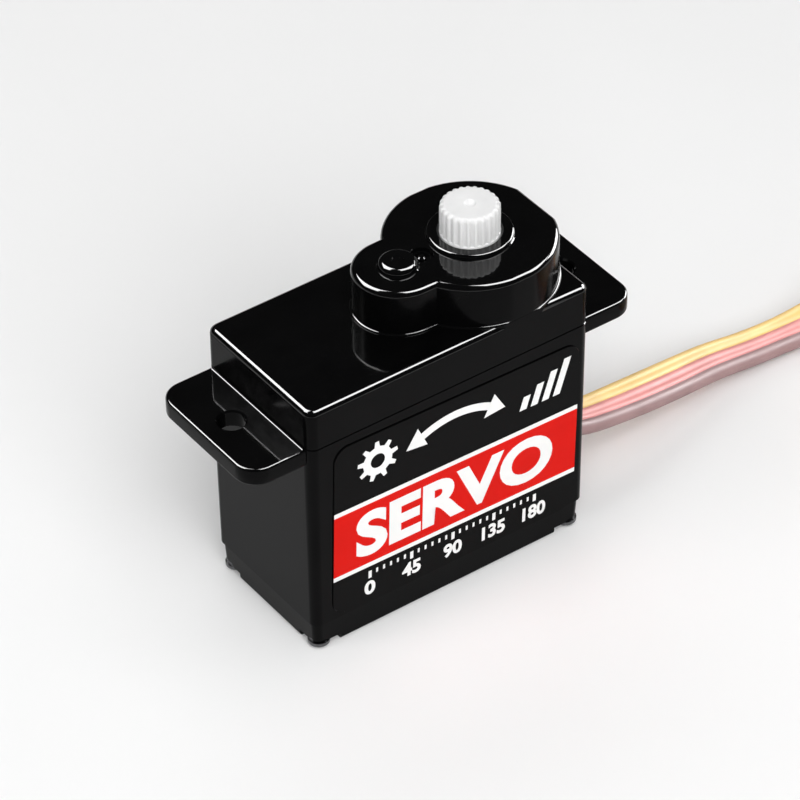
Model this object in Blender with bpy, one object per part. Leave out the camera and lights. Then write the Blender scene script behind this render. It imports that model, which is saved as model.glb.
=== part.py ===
"""A micro servo motor with its three-wire lead, in separate pieces.

Frame: the origin is the middle of the case's base. +X runs along the case towards the end that
the lead leaves, which is also the output shaft's end. -Y is the side that carries the label, and
+Z runs along the output shaft. Sizes are in millimetres here, and every mesh is made in metres.
"""

from math import acos, asin, cos, pi, radians, sin, tan

import bmesh
import bpy
from mathutils import Matrix, Vector

MM = 0.001
GAP = 0.03  # between pieces that touch

# The case: a lid over the gears, a middle case with the flanges, and a bottom cover.
CASE_LENGTH = 23.3
CASE_WIDTH = 12.0
CASE_TOP = 21.2
CORNER_RADIUS = 0.75
EDGE_RADIUS = 0.4
DRAFT = 0.15  # by which each wall of the middle case leans in at its foot
LID_SEAM = 18.05
COVER_SEAM = 2.3
SIDE_WALL = 0.7
END_WALL = 0.6
MOTOR_ROOM_WALL = 0.8
DECK_BOTTOM, DECK_TOP = 15.0, 15.9
LID_CEILING = 20.35

FLANGE_BOTTOM, FLANGE_TOP = 16.65, 18.0
FLANGE_LENGTH = 32.3
FLANGE_WIDTH = 11.0
FLANGE_TIP_RADIUS = 1.7
MOUNT_HOLE_SPACING = 27.5
MOUNT_HOLE_RADIUS = 0.95

COVER_STEP = 0.17  # by which the cover stands back from the middle case
COVER_TAPER = 0.12
COVER_FLOOR = 1.0
LIP_HEIGHT = 0.8
LIP_WALL = 0.5
LIP_CLEARANCE = 0.1

# The label, which is stuck on a little askew.
LABEL_X, LABEL_Z = 0.35, 9.8
LABEL_LENGTH, LABEL_HEIGHT = 20.5, 14.6
LABEL_CORNER = 1.2
LABEL_THICKNESS, LABEL_OFF = 0.08, 0.02
LABEL_TILT = 0.022  # in radians

# The four long screws, and the recesses that their heads lie in.
SCREW_INSET = 1.05
SCREW_RADIUS = 0.48
SCREW_HEAD_RADIUS = 0.78
SCREW_HEAD_DEPTH = 0.52
SCREW_TOP = 19.6
RECESS_LENGTH, RECESS_WIDTH, RECESS_DEPTH = 2.5, 2.4, 0.55
POST = 2.05  # the corner post that a screw runs in, from the outer faces

# The turret on the lid: a large round one over the output, and a small one over the axle.
TURRET_TOP = 24.65
TURRET_RADIUS = 6.05
SMALL_TURRET_RADIUS = 3.2
TURRET_WALL = 0.85
TURRET_CEILING = 23.75
RING_RADIUS, RING_HEIGHT = 3.0, 0.28
BOSS_RADIUS, BOSS_HEIGHT = 1.4, 0.5
GATE_OFFSET, GATE_RADIUS, GATE_DEPTH = 1.95, 0.8, 0.4
GATE_NUB_RADIUS, GATE_NUB_HEIGHT = 0.32, 0.25

# The gear train: three shafts in a row along X.
FINE_MODULE, COARSE_MODULE = 0.2, 0.25
PINION_TEETH, FIRST_WHEEL_TEETH = 10, 44
SMALL_TEETH, LARGE_TEETH = 12, 36
BACKLASH = 0.04
OUTPUT_X = 5.96
AXLE_X = OUTPUT_X - COARSE_MODULE * (SMALL_TEETH + LARGE_TEETH) / 2
MOTOR_X = AXLE_X - FINE_MODULE * (PINION_TEETH + FIRST_WHEEL_TEETH) / 2
AXLE_RADIUS = 0.5
RUNNING_GAP = 0.05
FIRST_WHEEL = (16.15, 17.4)
FIRST_PINION_TOP = 18.85
SECOND_WHEEL = (17.7, 18.75)
SECOND_PINION_TOP = 20.2
THIRD_WHEEL = (18.95, 20.1)
THIRD_PINION_TOP = 22.2
OUTPUT_WHEEL = (20.6, 22.0)
OUTPUT_COLLAR_RADIUS, OUTPUT_COLLAR_TOP = 2.9, 23.65
JOURNAL_RADIUS, JOURNAL_TOP = 2.1, 24.97
SPLINE_RADIUS, SPLINE_ROOT, SPLINE_TEETH = 2.08, 1.9, 25
SPLINE_TOP = 27.15
DIMPLE_RADIUS, DIMPLE_DEPTH = 0.42, 0.3
AXLE_FOOT, AXLE_TOP = 15.3, 24.4

# The motor: a can, its end cap, two magnets, two brushes and the turning armature.
CAN_RADIUS, CAN_WALL = 4.6, 0.4
CAN_FOOT, CAN_TOP = 3.4, 14.9
NECK_RADIUS, NECK_TOP = 1.5, 15.75
SHAFT_RADIUS = 0.4
SHAFT_FOOT, SHAFT_TOP = 2.75, 17.35
PINION_FOOT = 16.05
MAGNET_INNER = 3.35
MAGNET_SPAN = (6.0, 13.4)
ARMATURE_RADIUS, ARMATURE_SPAN = 3.1, (6.2, 13.2)
COMMUTATOR_RADIUS, COMMUTATOR_FOOT = 1.0, 4.95
CAP_THICKNESS, CAP_BOSS_RADIUS, CAP_BOSS_FOOT = 1.1, 1.2, 2.45

# The position sensor under the output shaft.
SENSOR_RADIUS, SENSOR_FOOT = 4.2, 10.6
SENSOR_SHAFT_RADIUS, SENSOR_SHAFT_TOP = 0.9, 23.0
ELEMENT_THICKNESS = 0.7
WIPER_RADIUS, WIPER_SPAN = 2.9, (12.2, 12.7)

# The control board, lying under the sensor.
BOARD_X = (0.0, 9.2)
BOARD_HALF_WIDTH = 4.4
BOARD_SPAN = (6.6, 7.4)

# The flat lead of three wires, and the plug on its end.
LEAD_WIDTH, LEAD_THICKNESS = 3.2, 1.07
LEAD_Z = 5.0
LEAD_WINDOW_MARGIN = 0.15
LEAD_START_X = 8.6
# Each point of the lead's run is x, y, z and its turn from lying flat, in degrees.
LEAD_RUN = (
    (LEAD_START_X, 0.0, LEAD_Z, 0),
    (CASE_LENGTH / 2, 0.0, LEAD_Z, 0),
    (15.2, -0.35, 4.1, 6),
    (18.0, -0.35, 3.75, 14),
    (21.0, -0.1, 3.3, 20),
    (24.5, 0.5, 2.55, 20),
    (28.4, 1.1, 1.8, 14),
    (32.0, 1.25, 1.2, 8),
    (35.4, 1.15, 1.05, 8),
    (38.4, 0.85, 1.35, 25),
    (41.2, 0.5, 1.8, 60),
    (43.2, 0.3, 1.92, 90),
)
COIL_X, COIL_Y = 49.8, -18.0
COIL_OUTER, COIL_INNER = 18.2, 16.1  # the lead's middle line on its first and last turn
COIL_FOOT, COIL_TOP = 0.3, 3.54
TAIL_RADIUS = 9.0
TAIL_FROM, TAIL_TO = 234, 84  # degrees round the tail's bend, clockwise
TAIL_CLEAR = 48  # degrees of the bend that lie within the solid of the coil
CONNECTOR_LENGTH, CONNECTOR_WIDTH, CONNECTOR_HEIGHT = 14.0, 7.8, 2.6
CONTACT_PITCH, CONTACT_SIZE, CONTACT_LENGTH = 2.54, 1.5, 9.0
TIE_ANGLE, TIE_WIDTH, TIE_THICKNESS = -30, 2.4, 0.25

BLACK, WHITE, STEEL, BRASS = "black plastic", "white nylon", "steel", "brass"
MATERIALS = {  # name: colour, roughness, metallic
    BLACK: ((0.012, 0.012, 0.013), 0.2, 0.0),
    WHITE: ((0.8, 0.8, 0.78), 0.45, 0.0),
    STEEL: ((0.62, 0.63, 0.65), 0.3, 1.0),
    BRASS: ((0.75, 0.55, 0.25), 0.35, 1.0),
    "label film": ((0.6, 0.02, 0.012), 0.35, 0.0),
    "magnet": ((0.09, 0.085, 0.08), 0.6, 0.0),
    "winding": ((0.55, 0.22, 0.09), 0.4, 0.6),
    "board": ((0.03, 0.16, 0.07), 0.5, 0.0),
    "chip": ((0.02, 0.02, 0.022), 0.5, 0.0),
    "phenolic": ((0.25, 0.13, 0.06), 0.6, 0.0),
    "red wire": ((0.65, 0.05, 0.04), 0.45, 0.0),
    "black wire": ((0.02, 0.02, 0.02), 0.45, 0.0),
    "lead": ((0.7, 0.3, 0.1), 0.45, 0.0),
}


# ---- outlines, as lists of (x, y) ------------------------------------------------------------


def arc(x, y, radius, start, end, steps):
    """Points from one angle to another, in degrees, round (x, y)."""
    angles = [radians(start + (end - start) * i / steps) for i in range(steps + 1)]
    return [(x + radius * cos(a), y + radius * sin(a)) for a in angles]


def rounded_rectangle(half_length, half_width, radius, steps=3):
    x, y = half_length - radius, half_width - radius
    corners = ((x, y, 0), (-x, y, 90), (-x, -y, 180), (x, -y, 270))
    return [p for cx, cy, a in corners for p in arc(cx, cy, radius, a, a + 90, steps)]


def rectangle(x0, x1, y0, y1):
    return [(x0, y0), (x1, y0), (x1, y1), (x0, y1)]


def notched_rectangle(half_length, half_width, inset):
    """A rectangle less its corners, so that a post stands in each corner of the case."""
    x = CASE_LENGTH / 2 - POST - inset
    y = CASE_WIDTH / 2 - POST - inset
    quarter = [(half_length, y), (x, y), (x, half_width)]
    half = quarter + [(-px, py) for px, py in reversed(quarter)]
    return half + [(-px, -py) for px, py in half]


def turret_outline(inset, end_inset, side_inset):
    """The keyhole shape of the turret, cut off by the case's end and sides."""
    large, small = TURRET_RADIUS - inset, SMALL_TURRET_RADIUS - inset
    end = acos((CASE_LENGTH / 2 - end_inset - OUTPUT_X) / large) * 180 / pi
    side = asin((CASE_WIDTH / 2 - side_inset) / large) * 180 / pi
    neck = 180 - asin(small / large) * 180 / pi
    upper = arc(OUTPUT_X, 0, large, end, side, 5) + arc(OUTPUT_X, 0, large, 180 - side, neck, 5)
    small_end = arc(AXLE_X, 0, small, 90, 270, 16)
    lower = [(x, -y) for x, y in reversed(upper)]
    return upper + small_end + lower


def gear_outline(teeth, module, turned=0.0):
    """Involute teeth of 20 degrees, thinned by the backlash, with a tooth at the angle turned."""
    pitch = module * teeth / 2
    base = pitch * cos(radians(20))
    tip, root = pitch + 0.85 * module, pitch - 1.15 * module
    involute = tan(radians(20)) - radians(20)
    half_tooth = pi / (2 * teeth) - BACKLASH / (2 * pitch)

    def half_angle(radius):
        pressure = acos(min(1.0, base / radius))
        return half_tooth + involute - (tan(pressure) - pressure)

    flank = [(r, half_angle(max(r, base))) for r in (root, pitch, tip)]
    outline = []
    for tooth in range(teeth):
        middle = 2 * pi * tooth / teeth + radians(turned)
        sides = [(r, middle - a) for r, a in flank] + [(r, middle + a) for r, a in reversed(flank)]
        outline += [(r * cos(a), r * sin(a)) for r, a in sides]
    return outline


def spline_outline(tip):
    """The output spline's fine rounded teeth."""
    outline = []
    for tooth in range(SPLINE_TEETH):
        middle = 360 * tooth / SPLINE_TEETH
        pitch = 360 / SPLINE_TEETH
        root = tip - (SPLINE_RADIUS - SPLINE_ROOT)
        for share, radius in ((-0.34, root), (-0.14, tip), (0.14, tip), (0.34, root)):
            angle = radians(middle + share * pitch)
            outline.append((radius * cos(angle), radius * sin(angle)))
    return outline


# ---- solids ----------------------------------------------------------------------------------


def material(name):
    """The Principled material of this name, made once."""
    made = bpy.data.materials.get(name)
    if made:
        return made
    colour, roughness, metallic = MATERIALS[name]
    made = bpy.data.materials.new(name)
    made.use_nodes = True
    shader = made.node_tree.nodes["Principled BSDF"]
    shader.inputs["Base Color"].default_value = (*colour, 1)
    shader.inputs["Roughness"].default_value = roughness
    shader.inputs["Metallic"].default_value = metallic
    made.diffuse_color = (*colour, 1)
    return made


def finish(name, data, finish_name, at, parent):
    """An object of this data, with its material, at a place in millimetres."""
    if data.name.startswith("Mesh"):
        data.name = name
    made = bpy.data.objects.new(name, data)
    bpy.context.scene.collection.objects.link(made)
    data.materials.append(material(finish_name))
    made.location = Vector(at) * MM
    made.parent = parent
    if isinstance(data, bpy.types.Mesh):
        data.shade_smooth()
        data.set_sharp_from_angle(angle=radians(35))
    return made


def mesh_of(points, faces):
    """A closed mesh in metres from points in millimetres, with its faces turned outwards."""
    data = bpy.data.meshes.new("Mesh")
    data.from_pydata([Vector(p) * MM for p in points], [], faces)
    shape = bmesh.new()
    shape.from_mesh(data)
    bmesh.ops.recalc_face_normals(shape, faces=shape.faces)
    shape.to_mesh(data)
    shape.free()
    return data


def loft(name, rings, finish_name, at=(0, 0, 0), parent=None):
    """A solid through rings of the same number of points, closed by its first and last ring."""
    count = len(rings[0])
    points = [p for ring in rings for p in ring]
    faces = [list(range(count)), [len(points) - count + i for i in range(count)]]
    for lower in range(0, len(points) - count, count):
        for i in range(count):
            j = (i + 1) % count
            faces.append([lower + i, lower + j, lower + count + j, lower + count + i])
    return finish(name, mesh_of(points, faces), finish_name, at, parent)


def stack(name, outlines, finish_name, at=(0, 0, 0), parent=None):
    """A solid through flat outlines, each given with its height."""
    rings = [[(x, y, z) for x, y in outline] for z, outline in outlines]
    return loft(name, rings, finish_name, at, parent)


def prism(name, outline, foot, top, finish_name, at=(0, 0, 0), parent=None):
    return stack(name, [(foot, outline), (top, outline)], finish_name, at, parent)


def block(name, x, y, z, finish_name, parent=None):
    """A plain block between two values of x, y and z."""
    return prism(name, rectangle(*x, *y), *z, finish_name, parent=parent)


def turned(name, profile, finish_name, at=(0, 0, 0), parent=None, steps=24, loop=False):
    """A solid of revolution. The profile of (radius, z) is a loop, or its ends get flat caps."""
    points, rows, faces = [], [], []
    for radius, z in profile:
        rows.append([len(points) + i for i in range(steps)] if radius else [len(points)] * steps)
        circle = arc(0, 0, radius, 0, 360 - 360 / steps, steps - 1)
        points += [(x, y, z) for x, y in circle] if radius else [(0, 0, z)]
    pairs = list(zip(rows, rows[1:]))
    if loop:
        pairs.append((rows[-1], rows[0]))
    else:
        faces += [row for row in (rows[0], rows[-1]) if row[0] != row[1]]
    for low, high in pairs:
        for i in range(steps):
            j = (i + 1) % steps
            faces.append(list(dict.fromkeys((low[i], low[j], high[j], high[i]))))
    return finish(name, mesh_of(points, faces), finish_name, at, parent)


def rod(name, radius, foot, top, finish_name, at=(0, 0, 0), parent=None, steps=24):
    return turned(name, [(radius, foot), (radius, top)], finish_name, at, parent, steps)


def wire(name, points, radius, finish_name):
    """A thin round wire through points, as a curve with closed ends."""
    data = bpy.data.curves.new(name, "CURVE")
    data.dimensions = "3D"
    data.bevel_depth = radius * MM
    data.bevel_resolution = 1
    data.use_fill_caps = True
    spline = data.splines.new("POLY")
    spline.points.add(len(points) - 1)
    for place, point in zip(spline.points, points):
        place.co = (*(Vector(point) * MM), 1)
    return finish(name, data, finish_name, (0, 0, 0), None)


def combine(target, tool, operation):
    """Cuts the tool from the target, or joins it on, and hides the tool."""
    change = target.modifiers.new(tool.name, "BOOLEAN")
    change.operation = operation
    change.solver = "EXACT"
    change.object = tool
    tool.hide_render = True
    tool.display_type = "WIRE"


def cut(target, *tools):
    for tool in tools:
        combine(target, tool, "DIFFERENCE")


def join(target, *tools):
    for tool in tools:
        combine(target, tool, "UNION")


# ---- the case --------------------------------------------------------------------------------


def case_outline(inset):
    radius = max(CORNER_RADIUS - inset / 2, 0.2)
    return rounded_rectangle(CASE_LENGTH / 2 - inset, CASE_WIDTH / 2 - inset, radius)


def screw_places():
    x, y = CASE_LENGTH / 2 - SCREW_INSET, CASE_WIDTH / 2 - SCREW_INSET
    return [(-x, -y), (x, -y), (x, y), (-x, y)]


def screw_holes(target, foot, top):
    for i, (x, y) in enumerate(screw_places(), 1):
        hole = f"{target.name}_screw_hole_{i}"
        cut(target, rod(hole, SCREW_RADIUS + GAP, foot, top, BLACK, (x, y, 0), steps=12))


def make_lid():
    """The lid over the gears, with the turret, the output's bore and the axle's boss."""
    rounded = EDGE_RADIUS * (1 - cos(pi / 4))
    rims = ((0, EDGE_RADIUS), (rounded, rounded), (EDGE_RADIUS, 0))
    body = [(LID_SEAM + GAP, case_outline(0))]
    body += [(CASE_TOP - down, case_outline(inset)) for inset, down in rims]
    lid = stack("top_case", body, BLACK)
    turret = [(CASE_TOP - 2 * EDGE_RADIUS, turret_outline(0, 0, 0))]
    turret += [(TURRET_TOP - down, turret_outline(inset, inset, inset)) for inset, down in rims]
    axle, output = (AXLE_X, 0, 0), (OUTPUT_X, 0, 0)
    boss_top = TURRET_TOP + BOSS_HEIGHT
    boss = [(BOSS_RADIUS, TURRET_TOP - 0.5), (BOSS_RADIUS, boss_top - 0.35)]
    boss += [(BOSS_RADIUS - 0.35, boss_top)]
    ring_top = TURRET_TOP + RING_HEIGHT
    ring = [(RING_RADIUS, TURRET_TOP - 0.5), (RING_RADIUS, ring_top - 0.12)]
    ring += [(RING_RADIUS - 0.12, ring_top)]
    join(
        lid,
        stack("lid_turret", turret, BLACK),
        turned("lid_boss", boss, BLACK, axle),
        turned("lid_ring", ring, BLACK, output, steps=40),
    )
    gear_room = notched_rectangle(CASE_LENGTH / 2 - END_WALL, CASE_WIDTH / 2 - SIDE_WALL, 0)
    cut(lid, prism("lid_gear_room", gear_room, LID_SEAM - 1, LID_CEILING, BLACK))
    turret_room = turret_outline(TURRET_WALL, END_WALL, TURRET_WALL)
    cut(
        lid,
        prism("lid_turret_room", turret_room, LID_CEILING - 0.4, TURRET_CEILING, BLACK),
        rod("lid_output_bore", JOURNAL_RADIUS + RUNNING_GAP, 23, 26, BLACK, output, steps=40),
        rod("lid_axle_seat", AXLE_RADIUS + GAP, 23, AXLE_TOP + GAP, BLACK, axle, steps=16),
    )
    gate = (AXLE_X + GATE_OFFSET, 0, 0)
    floor = TURRET_TOP - GATE_DEPTH
    nub = floor + GATE_NUB_HEIGHT
    groove = [(GATE_NUB_RADIUS, nub), (GATE_NUB_RADIUS, floor), (GATE_RADIUS, floor)]
    groove += [(GATE_RADIUS, TURRET_TOP + 1)]
    cut(lid, turned("lid_gate_mark", groove, BLACK, gate, steps=20))
    screw_holes(lid, LID_SEAM - 1, SCREW_TOP + GAP)


def make_middle_case():
    """The case round the motor, with the flanges, the deck under the gears and the lead's window."""
    foot = COVER_SEAM + GAP
    body = [(foot, case_outline(DRAFT)), (FLANGE_BOTTOM, case_outline(0)), (LID_SEAM, case_outline(0))]
    case = stack("mid_case", body, BLACK)
    flange = rounded_rectangle(FLANGE_LENGTH / 2, FLANGE_WIDTH / 2, FLANGE_TIP_RADIUS, 6)
    join(case, prism("case_flanges", flange, FLANGE_BOTTOM, FLANGE_TOP, BLACK))
    room = notched_rectangle(
        CASE_LENGTH / 2 - MOTOR_ROOM_WALL, CASE_WIDTH / 2 - MOTOR_ROOM_WALL, 0
    )
    tray = notched_rectangle(CASE_LENGTH / 2 - END_WALL, CASE_WIDTH / 2 - SIDE_WALL, 0)
    lead_side = LEAD_WIDTH / 2 + LEAD_WINDOW_MARGIN
    lead_up = LEAD_THICKNESS / 2 + LEAD_WINDOW_MARGIN
    cut(
        case,
        prism("case_motor_room", room, COVER_SEAM - 1, DECK_BOTTOM, BLACK),
        prism("case_gear_tray", tray, DECK_TOP, LID_SEAM + 1, BLACK),
        rod("case_motor_hole", NECK_RADIUS + 0.1, 14, 17, BLACK, (MOTOR_X, 0, 0)),
        rod("case_sensor_hole", NECK_RADIUS + 0.1, 14, 17, BLACK, (OUTPUT_X, 0, 0)),
        rod("case_axle_seat", AXLE_RADIUS + GAP, AXLE_FOOT - GAP, 17, BLACK, (AXLE_X, 0, 0), steps=16),
        block(
            "case_lead_window",
            (CASE_LENGTH / 2 - 2, CASE_LENGTH / 2 + 1),
            (-lead_side, lead_side),
            (LEAD_Z - lead_up, LEAD_Z + lead_up),
            BLACK,
        ),
    )
    for side in (-1, 1):
        place = (side * MOUNT_HOLE_SPACING / 2, 0, 0)
        cut(case, rod(f"case_mount_hole_{side}", MOUNT_HOLE_RADIUS, 16, 19, BLACK, place))
    screw_holes(case, COVER_SEAM - 1, LID_SEAM + 1)


def make_bottom_cover():
    """The cover under the motor, with a lip that fits in the middle case."""
    step = DRAFT + COVER_STEP
    body = [
        (0, case_outline(step + COVER_TAPER + 0.2)),
        (0.2, case_outline(step + COVER_TAPER)),
        (COVER_SEAM, case_outline(step)),
    ]
    cover = stack("bottom_cover", body, BLACK)
    lip_length = CASE_LENGTH / 2 - MOTOR_ROOM_WALL - LIP_CLEARANCE
    lip_width = CASE_WIDTH / 2 - MOTOR_ROOM_WALL - LIP_CLEARANCE
    lip = notched_rectangle(lip_length, lip_width, LIP_CLEARANCE)
    pocket = notched_rectangle(lip_length - LIP_WALL, lip_width - LIP_WALL, LIP_CLEARANCE + LIP_WALL)
    join(cover, prism("cover_lip", lip, COVER_SEAM - 0.5, COVER_SEAM + LIP_HEIGHT, BLACK))
    cut(cover, prism("cover_pocket", pocket, COVER_FLOOR, COVER_SEAM + 2, BLACK))
    x, y = CASE_LENGTH / 2, CASE_WIDTH / 2
    for name, sx, sy in (("a", -1, -1), ("b", 1, -1), ("c", 1, 1), ("d", -1, 1)):
        along = sorted((sx * (x - RECESS_LENGTH), sx * (x + 1)))
        across = sorted((sy * (y - RECESS_WIDTH), sy * (y + 1)))
        cut(cover, block(f"cover_recess_{name}", along, across, (-1, RECESS_DEPTH), BLACK))
    screw_holes(cover, -1, COVER_SEAM + 1)


def make_case_screws():
    head = SCREW_HEAD_RADIUS
    profile = [(0.55 * head, 0.04), (head, 0.24), (head, SCREW_HEAD_DEPTH)]
    profile += [(SCREW_RADIUS, SCREW_HEAD_DEPTH), (SCREW_RADIUS, SCREW_TOP - 0.4), (0, SCREW_TOP)]
    for i, (x, y) in enumerate(screw_places(), 1):
        turned(f"case_screw_{i}", profile, STEEL, (x, y, 0), steps=12)


def make_label():
    """The printed film on the case's -Y side, which leans with the drafted wall."""
    outline = rounded_rectangle(LABEL_LENGTH / 2, LABEL_HEIGHT / 2, LABEL_CORNER, 4)
    faces = (-LABEL_OFF, -LABEL_OFF - LABEL_THICKNESS)
    rings = [[(x, y, z) for x, z in outline] for y in faces]
    lean = DRAFT / (FLANGE_BOTTOM - COVER_SEAM)
    wall = -CASE_WIDTH / 2 + (FLANGE_BOTTOM - LABEL_Z) * lean
    label = loft("label", rings, "label film", (LABEL_X, wall, LABEL_Z))
    label.rotation_euler = (lean, LABEL_TILT, 0)


# ---- the gears -------------------------------------------------------------------------------


def pivot(name, x):
    """An empty on a gear's axis, that carries what turns there."""
    made = bpy.data.objects.new(name, None)
    bpy.context.scene.collection.objects.link(made)
    made.location = Vector((x, 0, 0)) * MM
    made.empty_display_size = 5 * MM
    return made


def make_double_gear(name, axis, wheel, small_top, hub, bore):
    """A wheel with a smaller gear on top and a hub below, round a bore."""
    wheel_teeth, wheel_module, (foot, top) = wheel
    wheel_turned = 0 if wheel_teeth == FIRST_WHEEL_TEETH else 180 / wheel_teeth
    outline = gear_outline(wheel_teeth, wheel_module, wheel_turned)
    gear = prism(name, outline, foot, top, WHITE, parent=axis)
    small_outline = gear_outline(SMALL_TEETH, COARSE_MODULE)
    hub_radius, hub_foot = hub
    join(
        gear,
        prism(f"{name}_small", small_outline, top - 0.2, small_top, WHITE, parent=axis),
        rod(f"{name}_hub", hub_radius, hub_foot, foot + 0.2, WHITE, parent=axis),
    )
    cut(gear, rod(f"{name}_bore", bore, hub_foot - 1, small_top + 1, WHITE, parent=axis, steps=16))


def make_gears():
    axle_bore = AXLE_RADIUS + RUNNING_GAP
    deck = DECK_TOP + RUNNING_GAP
    first = (FIRST_WHEEL_TEETH, FINE_MODULE, FIRST_WHEEL)
    make_double_gear("gear_1", pivot("gear_1_axis", AXLE_X), first, FIRST_PINION_TOP, (1.0, deck), axle_bore)
    second = (LARGE_TEETH, COARSE_MODULE, SECOND_WHEEL)
    bore = SENSOR_SHAFT_RADIUS + RUNNING_GAP
    make_double_gear("gear_2", pivot("gear_2_axis", OUTPUT_X), second, SECOND_PINION_TOP, (1.2, deck), bore)
    third = (LARGE_TEETH, COARSE_MODULE, THIRD_WHEEL)
    hub = (1.0, FIRST_PINION_TOP + RUNNING_GAP)
    make_double_gear("gear_3", pivot("gear_3_axis", AXLE_X), third, THIRD_PINION_TOP, hub, axle_bore)
    rod("gear_axle", AXLE_RADIUS, AXLE_FOOT, AXLE_TOP, STEEL, (AXLE_X, 0, 0), steps=16)


def make_output():
    """The output gear with its journal and spline, and what turns with it in the sensor."""
    axis = pivot("output_axis", OUTPUT_X)
    outline = gear_outline(LARGE_TEETH, COARSE_MODULE, 180 / LARGE_TEETH)
    gear = prism("output_gear", outline, *OUTPUT_WHEEL, WHITE, parent=axis)
    top = OUTPUT_WHEEL[1] - 0.2
    column = [(OUTPUT_COLLAR_RADIUS, top), (OUTPUT_COLLAR_RADIUS, OUTPUT_COLLAR_TOP)]
    column += [(JOURNAL_RADIUS, OUTPUT_COLLAR_TOP), (JOURNAL_RADIUS, JOURNAL_TOP)]
    spline = [
        (JOURNAL_TOP - 0.3, spline_outline(SPLINE_RADIUS)),
        (SPLINE_TOP - 0.2, spline_outline(SPLINE_RADIUS)),
        (SPLINE_TOP, spline_outline(SPLINE_RADIUS - 0.2)),
    ]
    join(
        gear,
        turned("output_column", column, WHITE, parent=axis, steps=32),
        stack("output_spline", spline, WHITE, parent=axis),
    )
    dimple = [(0, SPLINE_TOP - DIMPLE_DEPTH), (DIMPLE_RADIUS, SPLINE_TOP + 0.1)]
    socket = SENSOR_SHAFT_RADIUS + GAP
    cut(
        gear,
        turned("output_dimple", dimple, WHITE, parent=axis, steps=16),
        rod("output_socket", socket, 20, SENSOR_SHAFT_TOP + GAP, WHITE, parent=axis, steps=16),
    )
    shaft_foot = SENSOR_FOOT + ELEMENT_THICKNESS + 0.3
    rod("sensor_shaft", SENSOR_SHAFT_RADIUS, shaft_foot, SENSOR_SHAFT_TOP, STEEL, parent=axis, steps=16)
    hub = SENSOR_SHAFT_RADIUS + GAP
    low, high = WIPER_SPAN
    wiper = [(hub, low), (WIPER_RADIUS, low), (WIPER_RADIUS, high), (hub, high)]
    turned("sensor_wiper", wiper, WHITE, parent=axis, steps=16, loop=True)


# ---- the motor, the sensor and the board -----------------------------------------------------


def make_motor():
    place = (MOTOR_X, 0, 0)
    bore = SHAFT_RADIUS + RUNNING_GAP
    inner = CAN_RADIUS - CAN_WALL
    can = [(CAN_RADIUS, CAN_FOOT), (CAN_RADIUS, CAN_TOP), (NECK_RADIUS, CAN_TOP), (NECK_RADIUS, NECK_TOP)]
    can += [(bore, NECK_TOP), (bore, CAN_TOP - CAN_WALL), (inner, CAN_TOP - CAN_WALL), (inner, CAN_FOOT)]
    turned("motor_can", can, STEEL, place, loop=True)
    cap_top = CAN_FOOT + CAP_THICKNESS
    cap = inner - GAP
    profile = [(CAP_BOSS_RADIUS, CAP_BOSS_FOOT), (CAP_BOSS_RADIUS, CAN_FOOT), (cap, CAN_FOOT)]
    profile += [(cap, cap_top), (bore, cap_top), (bore, SHAFT_FOOT - GAP)]
    turned("motor_end_cap", profile, BLACK, place)
    for i, start in enumerate((30, 210), 1):
        outer_arc = arc(0, 0, inner - GAP, start, start + 120, 10)
        inner_arc = arc(0, 0, MAGNET_INNER, start + 120, start, 10)
        prism(f"motor_magnet_{i}", outer_arc + inner_arc, *MAGNET_SPAN, "magnet", place)
    for i, side in enumerate((-1, 1), 1):
        edge = COMMUTATOR_RADIUS + 0.05
        near, far = sorted((side * edge, side * (edge + 0.15)))
        foot = cap_top + GAP
        x = (MOTOR_X - 2.2, MOTOR_X + 0.5)
        block(f"motor_brush_{i}", x, (near, far), (foot, foot + 0.8), BRASS)

    axis = pivot("motor_axis", MOTOR_X)
    rod("motor_shaft", SHAFT_RADIUS, SHAFT_FOOT, SHAFT_TOP, STEEL, parent=axis, steps=16)
    fit = SHAFT_RADIUS + GAP
    pinion = gear_outline(PINION_TEETH, FINE_MODULE, 180 / PINION_TEETH)
    pinion = prism("motor_pinion", pinion, PINION_FOOT, FIRST_WHEEL[1] + 0.05, BRASS, parent=axis)
    cut(pinion, rod("pinion_bore", fit, 15, 19, BRASS, parent=axis, steps=16))
    poles = []
    for pole in range(3):
        poles += arc(0, 0, ARMATURE_RADIUS, pole * 120, pole * 120 + 100, 8)
        poles.append((1.3 * cos(radians(pole * 120 + 110)), 1.3 * sin(radians(pole * 120 + 110))))
    armature = prism("motor_armature", poles, *ARMATURE_SPAN, "winding", parent=axis)
    cut(armature, rod("armature_bore", fit, 5, 15, STEEL, parent=axis, steps=16))
    low, high = COMMUTATOR_FOOT, ARMATURE_SPAN[0] - GAP
    ring = [(fit, low), (COMMUTATOR_RADIUS, low), (COMMUTATOR_RADIUS, high), (fit, high)]
    turned("motor_commutator", ring, BRASS, parent=axis, steps=16, loop=True)


def make_sensor():
    """The position sensor's fixed pieces: a cup, and the resistive disc that closes it."""
    place = (OUTPUT_X, 0, 0)
    bore = SENSOR_SHAFT_RADIUS + RUNNING_GAP
    wall, roof = 0.4, 0.7
    inner = SENSOR_RADIUS - wall
    top = CAN_TOP
    cup = [(SENSOR_RADIUS, SENSOR_FOOT), (SENSOR_RADIUS, top), (NECK_RADIUS, top), (NECK_RADIUS, NECK_TOP)]
    cup += [(bore, NECK_TOP), (bore, top - roof), (inner, top - roof), (inner, SENSOR_FOOT)]
    turned("sensor_housing", cup, BLACK, place, loop=True)
    disc_top = SENSOR_FOOT + ELEMENT_THICKNESS
    rod("sensor_element", inner - GAP, SENSOR_FOOT + 0.05, disc_top, "phenolic", place)


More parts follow.
